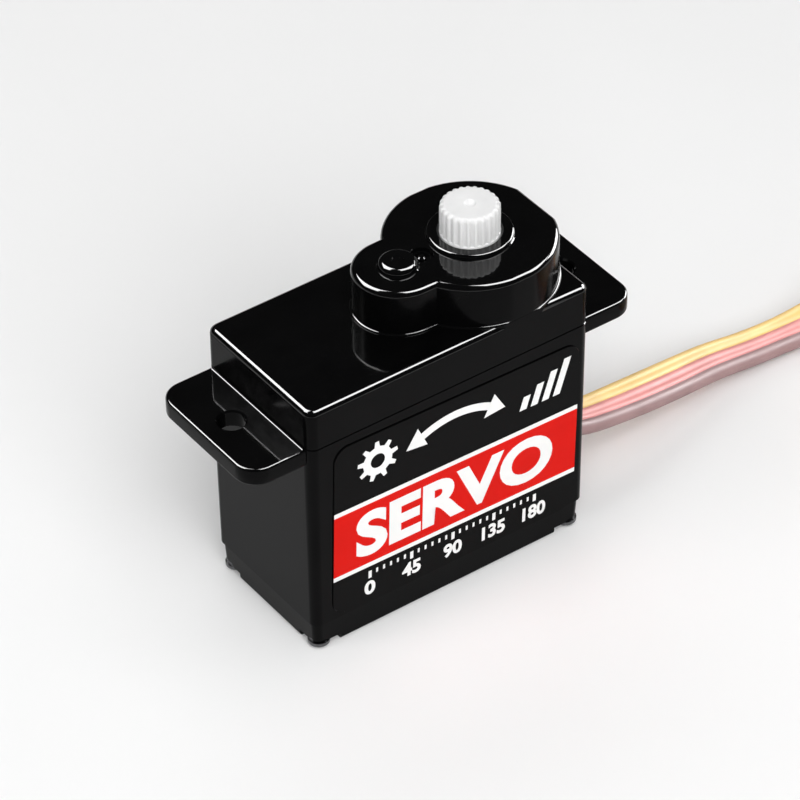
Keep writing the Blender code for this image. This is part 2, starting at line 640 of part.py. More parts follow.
def make_board():
    foot, top = BOARD_SPAN
    side = BOARD_HALF_WIDTH
    block("control_board", BOARD_X, (-side, side), BOARD_SPAN, "board")
    block("control_chip", (2.0, 6.2), (-2.1, 2.1), (top + GAP, top + 1.3), "chip")
    block("driver_chip", (2.2, 5.4), (-1.5, 1.5), (foot - 1.0, foot - GAP), "chip")
    block("board_capacitor", (7.0, 8.8), (2.2, 4.0), (top + GAP, top + 1.2), "phenolic")
    for i, y in enumerate((-1.3, 0.0, 1.3), 1):
        ends = (8.1, y, top + GAP), (8.1, y, SENSOR_FOOT)
        wire(f"sensor_pin_{i}", ends, 0.25, STEEL)
    for i, (side, finish_name) in enumerate(((-1, "red wire"), (1, "black wire")), 1):
        y = side * 1.9
        route = [
            (MOTOR_X + 2.4, y, CAN_FOOT - 0.05),
            (MOTOR_X + 2.6, y, 2.6),
            (MOTOR_X + 3.4, y, 2.1),
            (MOTOR_X + 5.0, y, 2.1),
            (0.4, y, 2.6),
            (0.9, y, 3.6),
            (1.0, y, foot - GAP),
        ]
        wire(f"motor_wire_{i}", route, 0.3, finish_name)


# ---- the lead --------------------------------------------------------------------------------


def smooth_path(points, spacing):
    """Places along a smooth curve through points of any number of values, about spacing apart."""
    points = [Vector(p) for p in points]
    padded = [2 * points[0] - points[1], *points, 2 * points[-1] - points[-2]]
    path = []
    for a, b, c, d in zip(padded, padded[1:], padded[2:], padded[3:]):
        steps = max(1, round((c.xyz - b.xyz).length / spacing))
        for i in range(steps):
            t = i / steps
            path.append(
                0.5
                * (
                    2 * b
                    + (c - a) * t
                    + (2 * a - 5 * b + 4 * c - d) * t * t
                    + (3 * b - 3 * c + d - a) * t**3
                )
            )
    return path + [points[-1]]


def ribbon(name, path):
    """A flat ribbon along places that give x, y, z and the turn from lying flat."""
    w, t = LEAD_WIDTH / 2, LEAD_THICKNESS / 2
    bevel = 0.5 * t
    section = [(w, t - bevel), (w - bevel, t), (bevel - w, t), (-w, t - bevel)]
    section += [(-u, -v) for u, v in section]
    rings = []
    for i, place in enumerate(path):
        ahead = (path[min(i + 1, len(path) - 1)] - path[max(i - 1, 0)]).xyz.normalized()
        across = Vector((-ahead.y, ahead.x, 0)).normalized()
        across.rotate(Matrix.Rotation(radians(place.w), 3, ahead))
        normal = ahead.cross(across)
        rings.append([place.xyz + across * u + normal * v for u, v in section])
    loft(name, rings, "lead")


def tail_path():
    """The lead from the coil's inside round to the plug, turning from its edge to flat."""
    out = COIL_INNER - TAIL_RADIUS
    x = COIL_X + out * cos(radians(TAIL_FROM))
    y = COIL_Y + out * sin(radians(TAIL_FROM))
    upright, flat = (COIL_FOOT + COIL_TOP) / 2, CONNECTOR_HEIGHT / 2
    points = []
    start = TAIL_FROM - TAIL_CLEAR
    steps = 12
    for i, (px, py) in enumerate(arc(x, y, TAIL_RADIUS, start, TAIL_TO, steps)):
        share = min(1.0, i / (steps - 2))
        eased = share * share * (3 - 2 * share)
        points.append((px, py, upright + (flat - upright) * eased, 90 * (1 - eased)))
    return points


def make_lead():
    ribbon("lead_run", smooth_path(LEAD_RUN, 2.0))
    half = LEAD_THICKNESS / 2 + 0.05
    low, high = COIL_FOOT, COIL_TOP
    inner, outer = COIL_INNER - half, COIL_OUTER + half
    ring = [(inner, low), (outer, low), (outer, high), (inner, high)]
    turned("lead_coil", ring, "lead", (COIL_X, COIL_Y, 0), steps=48, loop=True)
    ribbon("lead_tail", [Vector(p) for p in tail_path()])

    inner, outer = inner - 0.15, outer + 0.15
    low, high = COIL_FOOT - 0.05, COIL_TOP + 0.1
    t, w = TIE_THICKNESS, TIE_WIDTH / 2
    angle = radians(TIE_ANGLE)
    place = (COIL_X, COIL_Y, 0)
    tie = block("coil_tie", (inner - t, outer + t), (-w, w), (low - t, high + t), BLACK)
    hole = block("tie_hole", (inner, outer), (-w - 1, w + 1), (low, high), BLACK)
    for piece in (tie, hole):
        piece.location = Vector(place) * MM
        piece.rotation_euler.z = angle
    cut(tie, hole)


def make_connector():
    """The three-way plug: a housing with a channel for each contact."""
    end = Vector(tail_path()[-1]).xyz
    heading = TAIL_TO - 90
    axis = bpy.data.objects.new("connector_axis", None)
    bpy.context.scene.collection.objects.link(axis)
    axis.location = Vector((end.x, end.y, 0)) * MM
    axis.rotation_euler.z = radians(heading)
    rear = 0.3
    front = rear + CONNECTOR_LENGTH
    half = CONNECTOR_WIDTH / 2
    housing = block(
        "connector_housing", (rear, front), (-half, half), (0, CONNECTOR_HEIGHT), BLACK, axis
    )
    middle = CONNECTOR_HEIGHT / 2
    r = CONTACT_SIZE / 2
    for i in (1, 2, 3):
        y = (i - 2) * CONTACT_PITCH
        x = (rear + 2.6, rear + 2.6 + CONTACT_LENGTH)
        channel = block(
            f"connector_channel_{i}",
            (rear - 1, front + 1),
            (y - r - GAP, y + r + GAP),
            (middle - r - GAP, middle + r + GAP),
            BLACK,
            axis,
        )
        cut(housing, channel)
        contact = f"connector_contact_{i}"
        contact = block(contact, x, (y - r, y + r), (middle - r, middle + r), BRASS, axis)
        mouth = (x[1] - 5, x[1] + 1)
        slot = (middle - 0.4, middle + 0.4)
        hole = block(f"contact_mouth_{i}", mouth, (y - 0.4, y + 0.4), slot, BRASS, axis)
        cut(contact, hole)


def main():
    for old in list(bpy.data.objects):
        bpy.data.objects.remove(old)
    make_lid()
    make_middle_case()
    make_bottom_cover()
    make_case_screws()
    make_label()
    make_gears()
    make_output()
    make_motor()
    make_sensor()
    make_board()
    make_lead()
    make_connector()


main()
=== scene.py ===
"""The looks of a micro servo motor: its glossy case, printed film, white output spline and lead."""

from math import acos, asin, cos, pi, radians, sin, tan

import bmesh
import bpy
from mathutils import Matrix, Vector


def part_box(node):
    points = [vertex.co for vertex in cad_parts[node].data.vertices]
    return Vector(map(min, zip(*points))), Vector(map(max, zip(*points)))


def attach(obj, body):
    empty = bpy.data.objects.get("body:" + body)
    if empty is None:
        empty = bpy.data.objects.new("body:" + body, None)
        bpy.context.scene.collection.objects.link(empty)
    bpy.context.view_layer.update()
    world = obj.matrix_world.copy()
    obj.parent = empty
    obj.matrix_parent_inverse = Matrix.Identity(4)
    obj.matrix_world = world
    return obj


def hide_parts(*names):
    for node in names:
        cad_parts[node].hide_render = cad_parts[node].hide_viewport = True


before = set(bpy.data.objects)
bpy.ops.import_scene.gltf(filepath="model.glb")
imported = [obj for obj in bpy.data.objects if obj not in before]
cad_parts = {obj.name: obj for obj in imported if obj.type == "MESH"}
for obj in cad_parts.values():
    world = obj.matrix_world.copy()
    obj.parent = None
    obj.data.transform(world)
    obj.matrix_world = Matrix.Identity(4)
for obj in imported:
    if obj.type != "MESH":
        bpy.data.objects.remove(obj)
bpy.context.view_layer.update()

MM = 0.001  # sizes below are in millimetres unless a name says otherwise


def extent(node):
    """(lowest corner, highest corner) of a CAD node in millimetres."""
    low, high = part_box(node)
    return low / MM, high / MM


# ---- sizes that come from the frame ------------------------------------------------------------

LID_LOW, LID_HIGH = extent("top_case")
FLANGE_TIP = extent("mid_case")[1].x
COVER_LOW, COVER_HIGH = extent("bottom_cover")
GEAR_LOW, GEAR_HIGH = extent("output_gear")
COIL_LOW, COIL_HIGH = extent("lead_coil")
PLUG_LOW, PLUG_HIGH = extent("connector_housing")

HALF_LENGTH = LID_HIGH.x
HALF_WIDTH = LID_HIGH.y
OUTPUT_X = (GEAR_LOW.x + GEAR_HIGH.x) / 2
AXLE_X = (extent("gear_axle")[0].x + extent("gear_axle")[1].x) / 2
MOTOR_X = (extent("motor_shaft")[0].x + extent("motor_shaft")[1].x) / 2
LID_SEAM = LID_LOW.z - 0.03
SPLINE_TOP = GEAR_HIGH.z
COIL_X, COIL_Y = (COIL_LOW.x + COIL_HIGH.x) / 2, (COIL_LOW.y + COIL_HIGH.y) / 2

# ---- sizes of the finer shape ------------------------------------------------------------------

GAP = 0.03
CASE_TOP = 21.2
CORNER_RADIUS = 0.75
EDGE_RADIUS = 0.42
DRAFT = 0.15
COVER_SEAM = 2.3
SIDE_WALL, END_WALL, MOTOR_ROOM_WALL = 0.7, 0.6, 0.8
DECK_BOTTOM, DECK_TOP = 15.0, 15.9
LID_CEILING = 20.35
COVER_STEP, COVER_TAPER = 0.17, 0.12
POST = 2.05  # the corner post that a screw runs in, from the outer faces
AXLE_SEAT_RADIUS, AXLE_FOOT, AXLE_TOP = 0.53, 15.27, 24.43
SHAFT_HOLE_RADIUS = 1.6
FLANGE_BOTTOM, FLANGE_TOP = 16.65, 18.0
FLANGE_HALF_WIDTH = 5.5
FLANGE_TIP_RADIUS = 1.7
FLANGE_EDGE = 0.2
MOUNT_HOLE_X, MOUNT_HOLE_RADIUS = 13.75, 0.95
TURRET_TOP = 24.65
TURRET_RADIUS, SMALL_TURRET_RADIUS = 6.05, 3.2
TURRET_WALL, TURRET_CEILING = 0.85, 23.75
TURRET_FOOT_RADIUS = 0.14
RING_RADIUS, RING_HEIGHT = 3.0, 0.28
BOSS_RADIUS, BOSS_HEIGHT = 1.4, 0.5
GATE_X, GATE_RADIUS, GATE_DEPTH = AXLE_X + 1.95, 0.8, 0.4
SCREW_X, SCREW_Y = HALF_LENGTH - 1.05, HALF_WIDTH - 1.05
SCREW_RADIUS, SCREW_HOLE_RADIUS, SCREW_HEAD_RADIUS = 0.48, 0.51, 0.78
SCREW_HEAD_TOP, SCREW_TOP = 0.52, 19.6
RECESS_LENGTH, RECESS_WIDTH, RECESS_DEPTH = 2.5, 2.4, 0.55
SPLINE_RADIUS, SPLINE_DEPTH, SPLINE_TEETH = 2.08, 0.12, 25
JOURNAL_RADIUS, JOURNAL_TOP = 2.1, 24.97
COLLAR_RADIUS, COLLAR_TOP = 2.9, 23.65

# ---- the lead ----------------------------------------------------------------------------------

LEAD_WIDTH = 3.2
WIRE_RADIUS = LEAD_WIDTH / 6
LEAD_Z = 5.0
WEB_ANGLE = 42  # how far round each wire, in degrees, the skin that joins it to the next one starts
# Each point of the lead's run is x, y, z and its turn from lying flat, in degrees.
LEAD_RUN = (
    (8.6, 0.0, LEAD_Z, 0),
    (HALF_LENGTH, 0.0, LEAD_Z, 0),
    (15.2, -0.35, 4.1, 6),
    (18.0, -0.35, 3.75, 14),
    (21.0, -0.1, 3.3, 20),
    (24.5, 0.5, 2.55, 20),
    (28.4, 1.1, 1.8, 14),
    (32.0, 1.25, 1.2, 8),
    (35.4, 1.15, 1.05, 8),
    (38.4, 0.85, 1.35, 25),
    (41.2, 0.5, 1.8, 60),
    (43.2, 0.3, 1.92, 90),
)
COIL_OUTER, COIL_INNER = 18.2, 16.1
TAIL_RADIUS, TAIL_FROM, TAIL_TO = 9.0, 234, 84
COIL_TURN = 360 + (450 - TAIL_FROM)  # in degrees, from where the run meets the coil
PATH_SPACING = 0.9
TIE_ANGLE = -30  # where the tie goes round the coil

# ---- the camera and the stage ------------------------------------------------------------------

VIEW_AZIMUTH, VIEW_ELEVATION, VIEW_ROLL = -35.6, 39.5, -0.7
VIEW_DISTANCE = 333.0
VIEW_TARGET = Vector((0, 0, 12.0))
VIEW_RISE = 0.75  # by which the middle of the picture lies above the target
LENS, SENSOR = 219.2, 36.0


def direction(azimuth, elevation):
    """The unit vector towards a place seen at this azimuth and elevation, as the camera is."""
    a, e = radians(azimuth), radians(elevation)
    return Vector((sin(a) * cos(e), -cos(a) * cos(e), sin(e)))


def make_camera():
    back = direction(VIEW_AZIMUTH, VIEW_ELEVATION)
    right = Vector((cos(radians(VIEW_AZIMUTH)), sin(radians(VIEW_AZIMUTH)), 0))
    up = back.cross(right)
    roll = Matrix.Rotation(radians(VIEW_ROLL), 3, back)
    axes = Matrix((right, up, back)).transposed()
    axes = roll @ axes
    data = bpy.data.cameras.new("camera")
    data.sensor_width = SENSOR
    data.lens = LENS
    data.clip_start, data.clip_end = 0.01, 20
    camera = bpy.data.objects.new("camera", data)
    bpy.context.scene.collection.objects.link(camera)
    place = VIEW_TARGET + up * VIEW_RISE + back * VIEW_DISTANCE
    camera.matrix_world = Matrix.Translation(place * MM) @ axes.to_4x4()
    bpy.context.scene.camera = camera


def make_light(name, azimuth, elevation, distance, size, power, diffuse=True, glossy=True):
    """A square or oblong softbox that faces the object, with its size and distance in metres."""
    data = bpy.data.lights.new(name, "AREA")
    data.shape = "RECTANGLE"
    data.size, data.size_y = size
    data.energy = power
    light = bpy.data.objects.new(name, data)
    bpy.context.scene.collection.objects.link(light)
    towards = direction(azimuth, elevation)
    light.location = VIEW_TARGET * MM + towards * distance
    light.rotation_mode = "QUATERNION"
    light.rotation_quaternion = towards.to_track_quat("Z", "Y")
    light.visible_diffuse = diffuse
    light.visible_glossy = glossy
    light.visible_camera = False


def make_lights():
    make_light("front_softbox", -20, 42, 0.7, (0.5, 0.5), 4.5, glossy=False)
    make_light("left_softbox", -95, 38, 0.7, (0.4, 0.5), 1.3, glossy=False)
    make_light("top_softbox", 20, 82, 0.7, (0.6, 0.6), 1.5, glossy=False)
    make_light("back_softbox", 160, 40, 0.8, (0.6, 0.4), 1.2, glossy=False)
    make_light("left_back_glow", -160, 57, 0.6, (0.45, 0.3), 10.0, diffuse=False)
    make_light("overhead_glow", 78, 62, 0.6, (0.3, 0.5), 11.0, diffuse=False)
    make_light("right_glow", 95, 22, 0.7, (0.4, 0.3), 9.0, diffuse=False)
    world = bpy.data.worlds.new("studio")
    world.use_nodes = True
    world.node_tree.nodes["Background"].inputs["Color"].default_value = (1, 1, 1, 1)
    world.node_tree.nodes["Background"].inputs["Strength"].default_value = 0.03
    bpy.context.scene.world = world
    bpy.context.scene.view_settings.view_transform = "Standard"


# ---- materials ---------------------------------------------------------------------------------


class Nodes:
    """A material under construction, with short ways to add and join its nodes."""

    def __init__(self, name, **sockets):
        self.material = bpy.data.materials.new(name)
        self.material.use_nodes = True
        self.tree = self.material.node_tree
        self.shader = self.tree.nodes["Principled BSDF"]
        for socket, value in sockets.items():
            self.shader.inputs[socket.replace("_", " ").title().replace("Ior", "IOR")].default_value = value
        self.place = self.tree.nodes.new("ShaderNodeTexCoord").outputs["Object"]

    def add(self, kind, **inputs):
        node = self.tree.nodes.new(kind)
        for socket, value in inputs.items():
            socket = node.inputs[socket.replace("_", " ").title()]
            if isinstance(value, bpy.types.NodeSocket):
                self.tree.links.new(value, socket)
            else:
                socket.default_value = value
        return node

    def noise(self, size, detail=3.0, stretch=(1, 1, 1)):
        """Noise with features of this size in millimetres, longer where stretch is small."""
        mapping = self.add("ShaderNodeMapping", Vector=self.place, Scale=stretch)
        made = self.add("ShaderNodeTexNoise", Scale=1 / (size * MM), Detail=detail)
        self.tree.links.new(mapping.outputs["Vector"], made.inputs["Vector"])
        return made.outputs["Fac"]

    def between(self, factor, low, high, start=0.3, end=0.7):
        """A number that goes from low to high as the factor goes from start to end."""
        made = self.add("ShaderNodeMapRange", Value=factor)
        made.inputs["From Min"].default_value, made.inputs["From Max"].default_value = start, end
        made.inputs["To Min"].default_value, made.inputs["To Max"].default_value = low, high
        return made.outputs["Result"]

    def ramp(self, factor, stops):
        """Colours along the factor, from (place, colour) pairs."""
        made = self.add("ShaderNodeValToRGB", Fac=factor)
        elements = made.color_ramp.elements
        while len(elements) < len(stops):
            elements.new(0.5)
        for element, (place, colour) in zip(elements, stops):
            element.position = place
            element.color = (*colour, 1)
        return made.outputs["Color"]

    def link(self, output, socket):
        self.tree.links.new(output, self.shader.inputs[socket])

    def bump(self, height, depth, strength=1.0):
        """Raises the surface by up to depth millimetres where the height is 1."""
        made = self.add("ShaderNodeBump", Height=height, Strength=strength, Distance=depth * MM)
        self.link(made.outputs["Normal"], "Normal")


def shades(colour, by):
    """Darker and lighter versions of a colour."""
    return [tuple(min(1.0, c * (1 + step * by)) for c in colour) for step in (-1, 1)]


def moulded(name, colour, roughness, grain=0.25, depth=0.002, spread=0.12, mottle=0.08, **sockets):
    """Moulded plastic or rubber: slightly uneven colour and gloss, and a fine grain."""
    made = Nodes(name, **sockets)
    dark, light = shades(colour, mottle)
    broad, fine = made.noise(2.2, 2.0), made.noise(grain)
    made.link(made.ramp(broad, [(0.3, dark), (0.7, light)]), "Base Color")
    made.link(made.between(fine, roughness * (1 - spread), roughness * (1 + spread)), "Roughness")
    made.bump(fine, depth)
    return made.material


def glossy_case():
    """Near-black plastic out of a polished mould: faint waves, dust-fine grain and hairlines."""
    made = Nodes("glossy_case_plastic", ior=1.5)
    cloud = [(0.3, (0.001, 0.001, 0.0011)), (0.7, (0.0018, 0.0018, 0.0019))]
    made.link(made.ramp(made.noise(3.0), cloud), "Base Color")
    hairs = made.noise(0.5, 4.0, (1.0, 9.0, 9.0))
    marks = made.between(hairs, 0.05, 0.13, 0.58, 0.75)
    patches = made.between(made.noise(1.4), -0.01, 0.03)
    rough = made.add("ShaderNodeMath")
    made.tree.links.new(marks, rough.inputs[0])
    made.tree.links.new(patches, rough.inputs[1])
    made.link(rough.outputs["Value"], "Roughness")
    made.bump(made.noise(0.9, 2.0), 0.0008)
    return made.material


def dimmed_wall_case():
    """The same plastic, reflecting far less, for the walls and the cover: painted shade that keeps the walls
    dark.
    """
    made = Nodes("case_plastic", ior=1.46, specular_ior_level=0.06)
    cloud = [(0.3, (0.0012, 0.0012, 0.0013)), (0.7, (0.002, 0.002, 0.0021))]
    made.link(made.ramp(made.noise(2.5), cloud), "Base Color")
    made.link(made.between(made.noise(0.6), 0.14, 0.2), "Roughness")
    made.bump(made.noise(0.22), 0.0012)
    return made.material


def metal(name, colour, roughness, grain, stretch=(1, 1, 1), depth=0.001):
    """Metal with a fine directional grain."""
    made = Nodes(name, metallic=1.0)
    dark, light = shades(colour, 0.12)
    fine = made.noise(grain, 4.0, stretch)
    made.link(made.ramp(fine, [(0.35, dark), (0.65, light)]), "Base Color")
    made.link(made.between(fine, roughness * 0.75, roughness * 1.25), "Roughness")
    made.bump(fine, depth)
    return made.material


def circuit_board_finish():
    """Green solder mask over a pattern of copper tracks."""
    made = Nodes("solder_mask", roughness=0.35)
    tracks = made.add("ShaderNodeTexBrick", Vector=made.place, Scale=1 / (1.1 * MM))
    tracks.inputs["Mortar Size"].default_value = 0.06
    tracks.inputs["Color1"].default_value = (0.012, 0.11, 0.04, 1)
    tracks.inputs["Color2"].default_value = (0.016, 0.14, 0.05, 1)
    tracks.inputs["Mortar"].default_value = (0.05, 0.3, 0.1, 1)
    made.link(tracks.outputs["Color"], "Base Color")
    made.bump(tracks.outputs["Fac"], 0.02)
    return made.material


def windings():
    """Enamelled copper wire, wound in close turns, with painted shade in the grooves between them."""
    made = Nodes("copper_windings", metallic=0.8, roughness=0.3)
    turns = made.add("ShaderNodeTexWave", Vector=made.place, Scale=1 / (1.3 * MM), Distortion=0.6)
    turns.bands_direction = "Z"
    # the dark end of this ramp is painted shade in the grooves between turns
    groove_shade_turns = made.ramp(turns.outputs["Fac"], [(0.2, (0.22, 0.06, 0.02)), (0.8, (0.75, 0.3, 0.12))])
    made.link(groove_shade_turns, "Base Color")
    made.bump(turns.outputs["Fac"], 0.05)
    return made.material


def nylon():
    """White nylon that light enters a little."""
    made = Nodes("white_nylon", specular_ior_level=0.18, subsurface_weight=0.4, subsurface_scale=0.4 * MM)
    made.shader.inputs["Subsurface Radius"].default_value = (1, 1, 1)
    made.link(made.ramp(made.noise(1.6), [(0.3, (0.7, 0.7, 0.7)), (0.7, (0.75, 0.75, 0.75))]), "Base Color")
    fine = made.noise(0.2)
    made.link(made.between(fine, 0.52, 0.62), "Roughness")
    made.bump(fine, 0.0025)
    return made.material


def make_materials():
    made = {
        "gloss": glossy_case(),
        # the walls' copy of the plastic reflects far less: painted shade
        "case": dimmed_wall_case(),
        "nylon": nylon(),
        "film": moulded(
            "printed_film_black", (0.002, 0.002, 0.002), 0.16, specular_ior_level=0.05, depth=0.0008
        ),
        "red_ink": moulded(
            "printed_film_red", (0.68, 0.008, 0.004), 0.2, mottle=0.03, specular_ior_level=0.05, depth=0.0008
        ),
        "white_ink": moulded(
            "printed_film_white", (0.9, 0.9, 0.89), 0.22, mottle=0.02, specular_ior_level=0.1, depth=0.0008
        ),
        "grey_ink": moulded("printed_film_grey", (0.05, 0.05, 0.052), 0.25, mottle=0.05, depth=0.0008),
        "yellow_pvc": moulded("yellow_insulation", (0.9, 0.6, 0.19), 0.5, 0.6, 0.003, specular_ior_level=0.3),
        "red_pvc": moulded("red_insulation", (0.78, 0.29, 0.275), 0.5, 0.6, 0.003, specular_ior_level=0.3),
        "brown_pvc": moulded("brown_insulation", (0.36, 0.23, 0.23), 0.5, 0.6, 0.003, specular_ior_level=0.3),
        "plug": moulded("plug_plastic", (0.012, 0.012, 0.013), 0.36, 0.2, 0.004),
        "tie": moulded("tie_plastic", (0.014, 0.014, 0.015), 0.4, 0.3, 0.006),
        "inner": moulded("inner_plastic", (0.03, 0.03, 0.032), 0.4),
        "wiper": moulded("natural_nylon", (0.7, 0.68, 0.6), 0.4),
        "magnet": moulded("ferrite", (0.05, 0.05, 0.052), 0.6, 0.12, 0.01, 0.2),
        "phenolic": moulded("phenolic_board", (0.28, 0.13, 0.05), 0.5, 0.3, 0.004, 0.2, 0.2),
        "ceramic": moulded("capacitor_ceramic", (0.5, 0.33, 0.17), 0.4),
        "chip": moulded("chip_package", (0.014, 0.014, 0.015), 0.45, 0.1, 0.004),
        "wire_red": moulded("red_wire", (0.6, 0.03, 0.025), 0.35),
        "wire_black": moulded("black_wire", (0.012, 0.012, 0.012), 0.35),
        "steel": metal("turned_steel", (0.6, 0.6, 0.61), 0.28, 0.5, (8, 8, 1)),
        "can": metal("drawn_steel", (0.66, 0.65, 0.63), 0.25, 0.6, (1, 1, 6)),
        "screw": metal("black_steel", (0.13, 0.13, 0.135), 0.24, 0.3),
        "brass": metal("brass", (0.75, 0.53, 0.22), 0.25, 0.3),
        "board": circuit_board_finish(),
        "winding": windings(),
    }
    return made


# ---- outlines, as lists of (x, y) --------------------------------------------------------------


def arc(x, y, radius, start, end, steps):
    """Points from one angle to another, in degrees, round (x, y)."""
    angles = [radians(start + (end - start) * i / steps) for i in range(steps + 1)]
    return [(x + radius * cos(a), y + radius * sin(a)) for a in angles]


def rounded_rectangle(half_length, half_width, radius, steps=8):
    x, y = half_length - radius, half_width - radius
    corners = ((x, y, 0), (-x, y, 90), (-x, -y, 180), (x, -y, 270))
    return [p for cx, cy, a in corners for p in arc(cx, cy, radius, a, a + 90, steps)]


def rectangle(x0, x1, y0, y1):
    return [(x0, y0), (x1, y0), (x1, y1), (x0, y1)]


def notched_rectangle(wall_x, wall_y, post=POST):
    """The inside of the case, less a post in each corner."""
    half_length, half_width = HALF_LENGTH - wall_x, HALF_WIDTH - wall_y
    x, y = HALF_LENGTH - post, HALF_WIDTH - post
    corner = [(half_length, y), (x, y), (x, half_width)]
    half = corner + [(-px, py) for px, py in reversed(corner)]
    return half + [(-px, -py) for px, py in half]


def case_outline(inset):
    radius = max(CORNER_RADIUS - inset / 2, 0.2)
    return rounded_rectangle(HALF_LENGTH - inset, HALF_WIDTH - inset, radius)


def turret_outline(inset, end_inset, side_inset):
    """The keyhole shape of the turret, cut off by the case's end and sides."""
    large, small = TURRET_RADIUS - inset, SMALL_TURRET_RADIUS - inset
    end = acos(min(1.0, (HALF_LENGTH - end_inset - OUTPUT_X) / large)) * 180 / pi
    side = asin(min(1.0, (HALF_WIDTH - side_inset) / large)) * 180 / pi
    neck = 180 - asin(small / large) * 180 / pi
    upper = arc(OUTPUT_X, 0, large, end, side, 12) + arc(OUTPUT_X, 0, large, 180 - side, neck, 14)
    small_end = arc(AXLE_X, 0, small, 90, 270, 40)
    return upper + small_end + [(x, -y) for x, y in reversed(upper)]


def gear_outline(teeth, module, turned):
    """Involute teeth of 20 degrees, with a tooth at the angle turned."""
    pitch = module * teeth / 2
    base = pitch * cos(radians(20))
    tip, root = pitch + 0.85 * module, pitch - 1.15 * module
    half_tooth = pi / (2 * teeth) - 0.02 / pitch

    def half_angle(radius):
        pressure = acos(min(1.0, base / radius))
        return half_tooth + tan(radians(20)) - radians(20) - (tan(pressure) - pressure)

    steps = 5
    radii = [root] + [base + (tip - base) * i / steps for i in range(steps + 1)]
    flank = [(r, half_angle(max(r, base))) for r in radii]
    outline = []
    for tooth in range(teeth):
        middle = 2 * pi * tooth / teeth + radians(turned)
        sides = [(r, middle - a) for r, a in flank] + [(r, middle + a) for r, a in reversed(flank)]
        outline += [(r * cos(a), r * sin(a)) for r, a in sides]
    return outline


def spline_outline(tip, depth):
    """Fine rounded teeth: flat-topped waves round a circle."""
    steps = SPLINE_TEETH * 12
    outline = []
    for i in range(steps):
        angle = 2 * pi * i / steps
        wave = max(-1.0, min(1.0, 1.6 * cos(SPLINE_TEETH * angle)))
        radius = tip - depth * (1 - wave) / 2
        outline.append((radius * cos(angle), radius * sin(angle)))
    return outline


# ---- solids ------------------------------------------------------------------------------------


def quarter(radius, steps=6):
    """(inset, drop) pairs down a rounded edge, from the wall up to the top face."""
    turns = [pi / 2 * i / steps for i in range(steps + 1)]
    return [(radius * (1 - cos(t)), radius * (1 - sin(t))) for t in turns]


def mesh_of(name, points, faces):
    """A closed mesh in metres from points in millimetres, with its faces turned outwards."""
    data = bpy.data.meshes.new(name)
    data.from_pydata([Vector(p) * MM for p in points], [], faces)
    shape = bmesh.new()
    shape.from_mesh(data)
    bmesh.ops.recalc_face_normals(shape, faces=shape.faces)
    shape.to_mesh(data)
    shape.free()
    return data


def made_object(name, data):
    obj = bpy.data.objects.new(name, data)
    bpy.context.scene.collection.objects.link(obj)
    return obj


def loft(name, rings):
    """A solid through rings of the same number of points, closed by its first and last ring."""
    count = len(rings[0])
    points = [p for ring in rings for p in ring]
    faces = [list(range(count)), [len(points) - count + i for i in range(count)]]
    for lower in range(0, len(points) - count, count):
        for i in range(count):
            j = (i + 1) % count
            faces.append([lower + i, lower + j, lower + count + j, lower + count + i])
    return made_object(name, mesh_of(name, points, faces))


def stack(name, outlines, at=(0, 0)):
    """A solid through flat outlines, each given with its height."""
    rings = [[(x + at[0], y + at[1], z) for x, y in outline] for z, outline in outlines]
    return loft(name, rings)


def prism(name, outline, foot, top, at=(0, 0)):
    return stack(name, [(foot, outline), (top, outline)], at)


def block(name, x, y, z):
    return prism(name, rectangle(*x, *y), *z)


def turned(name, profile, at=(0, 0), steps=64, loop=False):
    """A solid of revolution. The profile of (radius, z) is a loop, or its ends get flat caps."""
    points, rows, faces = [], [], []
    for radius, z in profile:
        rows.append([len(points) + i for i in range(steps)] if radius else [len(points)] * steps)
        circle = arc(0, 0, radius, 0, 360 - 360 / steps, steps - 1) if radius else [(0, 0)]
        points += [(x + at[0], y + at[1], z) for x, y in circle]
    pairs = list(zip(rows, rows[1:]))
    if loop:
        pairs.append((rows[-1], rows[0]))
    else:
        faces += [row for row in (rows[0], rows[-1]) if row[0] != row[1]]
    for low, high in pairs:
        for i in range(steps):
            j = (i + 1) % steps
            faces.append(list(dict.fromkeys((low[i], low[j], high[j], high[i]))))
    return made_object(name, mesh_of(name, points, faces))


def rod(name, radius, foot, top, at=(0, 0), steps=48):
    return turned(name, [(radius, foot), (radius, top)], at, steps)


def combine(target, tools, operation):
    """Applies a Boolean with each tool, and removes the tools."""
    for tool in tools:
        change = target.modifiers.new(tool.name, "BOOLEAN")
        change.operation = operation
        change.solver = "EXACT"
        change.object = tool
    graph = bpy.context.evaluated_depsgraph_get()
    data = bpy.data.meshes.new_from_object(target.evaluated_get(graph))
    target.modifiers.clear()
    target.data = data
    data.name = target.name
    for tool in tools:
        bpy.data.objects.remove(tool)
    return target


def join(target, *tools):
    return combine(target, tools, "UNION")


def cut(target, *tools):
    return combine(target, tools, "DIFFERENCE")


def gloss_tops_shade_walls(obj, material, lowest=0.3):
    """Gives the faces that look upwards, and the rounded edges round them, a second, glossy material; the
    walls keep the less reflective first one, which paints shade on them.
    """
    obj.data.materials.append(material)
    for face in obj.data.polygons:
        if face.normal.z > lowest:
            face.material_index = 1


def dress(obj, material, body, slot, *replaced, angle=32, weighted=True):
    """Shades a piece, gives it its material, and puts it on its body in place of CAD nodes."""
    obj.data.materials.clear()
    obj.data.materials.append(material)
    obj.data.shade_smooth()
    obj.data.set_sharp_from_angle(angle=radians(angle))
    if weighted:
        normals = obj.modifiers.new("weighted_normals", "WEIGHTED_NORMAL")
        normals.keep_sharp = True
        normals.weight = 80
    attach(obj, body)
    if replaced:
        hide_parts(*replaced)
    return obj


# ---- the lead ----------------------------------------------------------------------------------


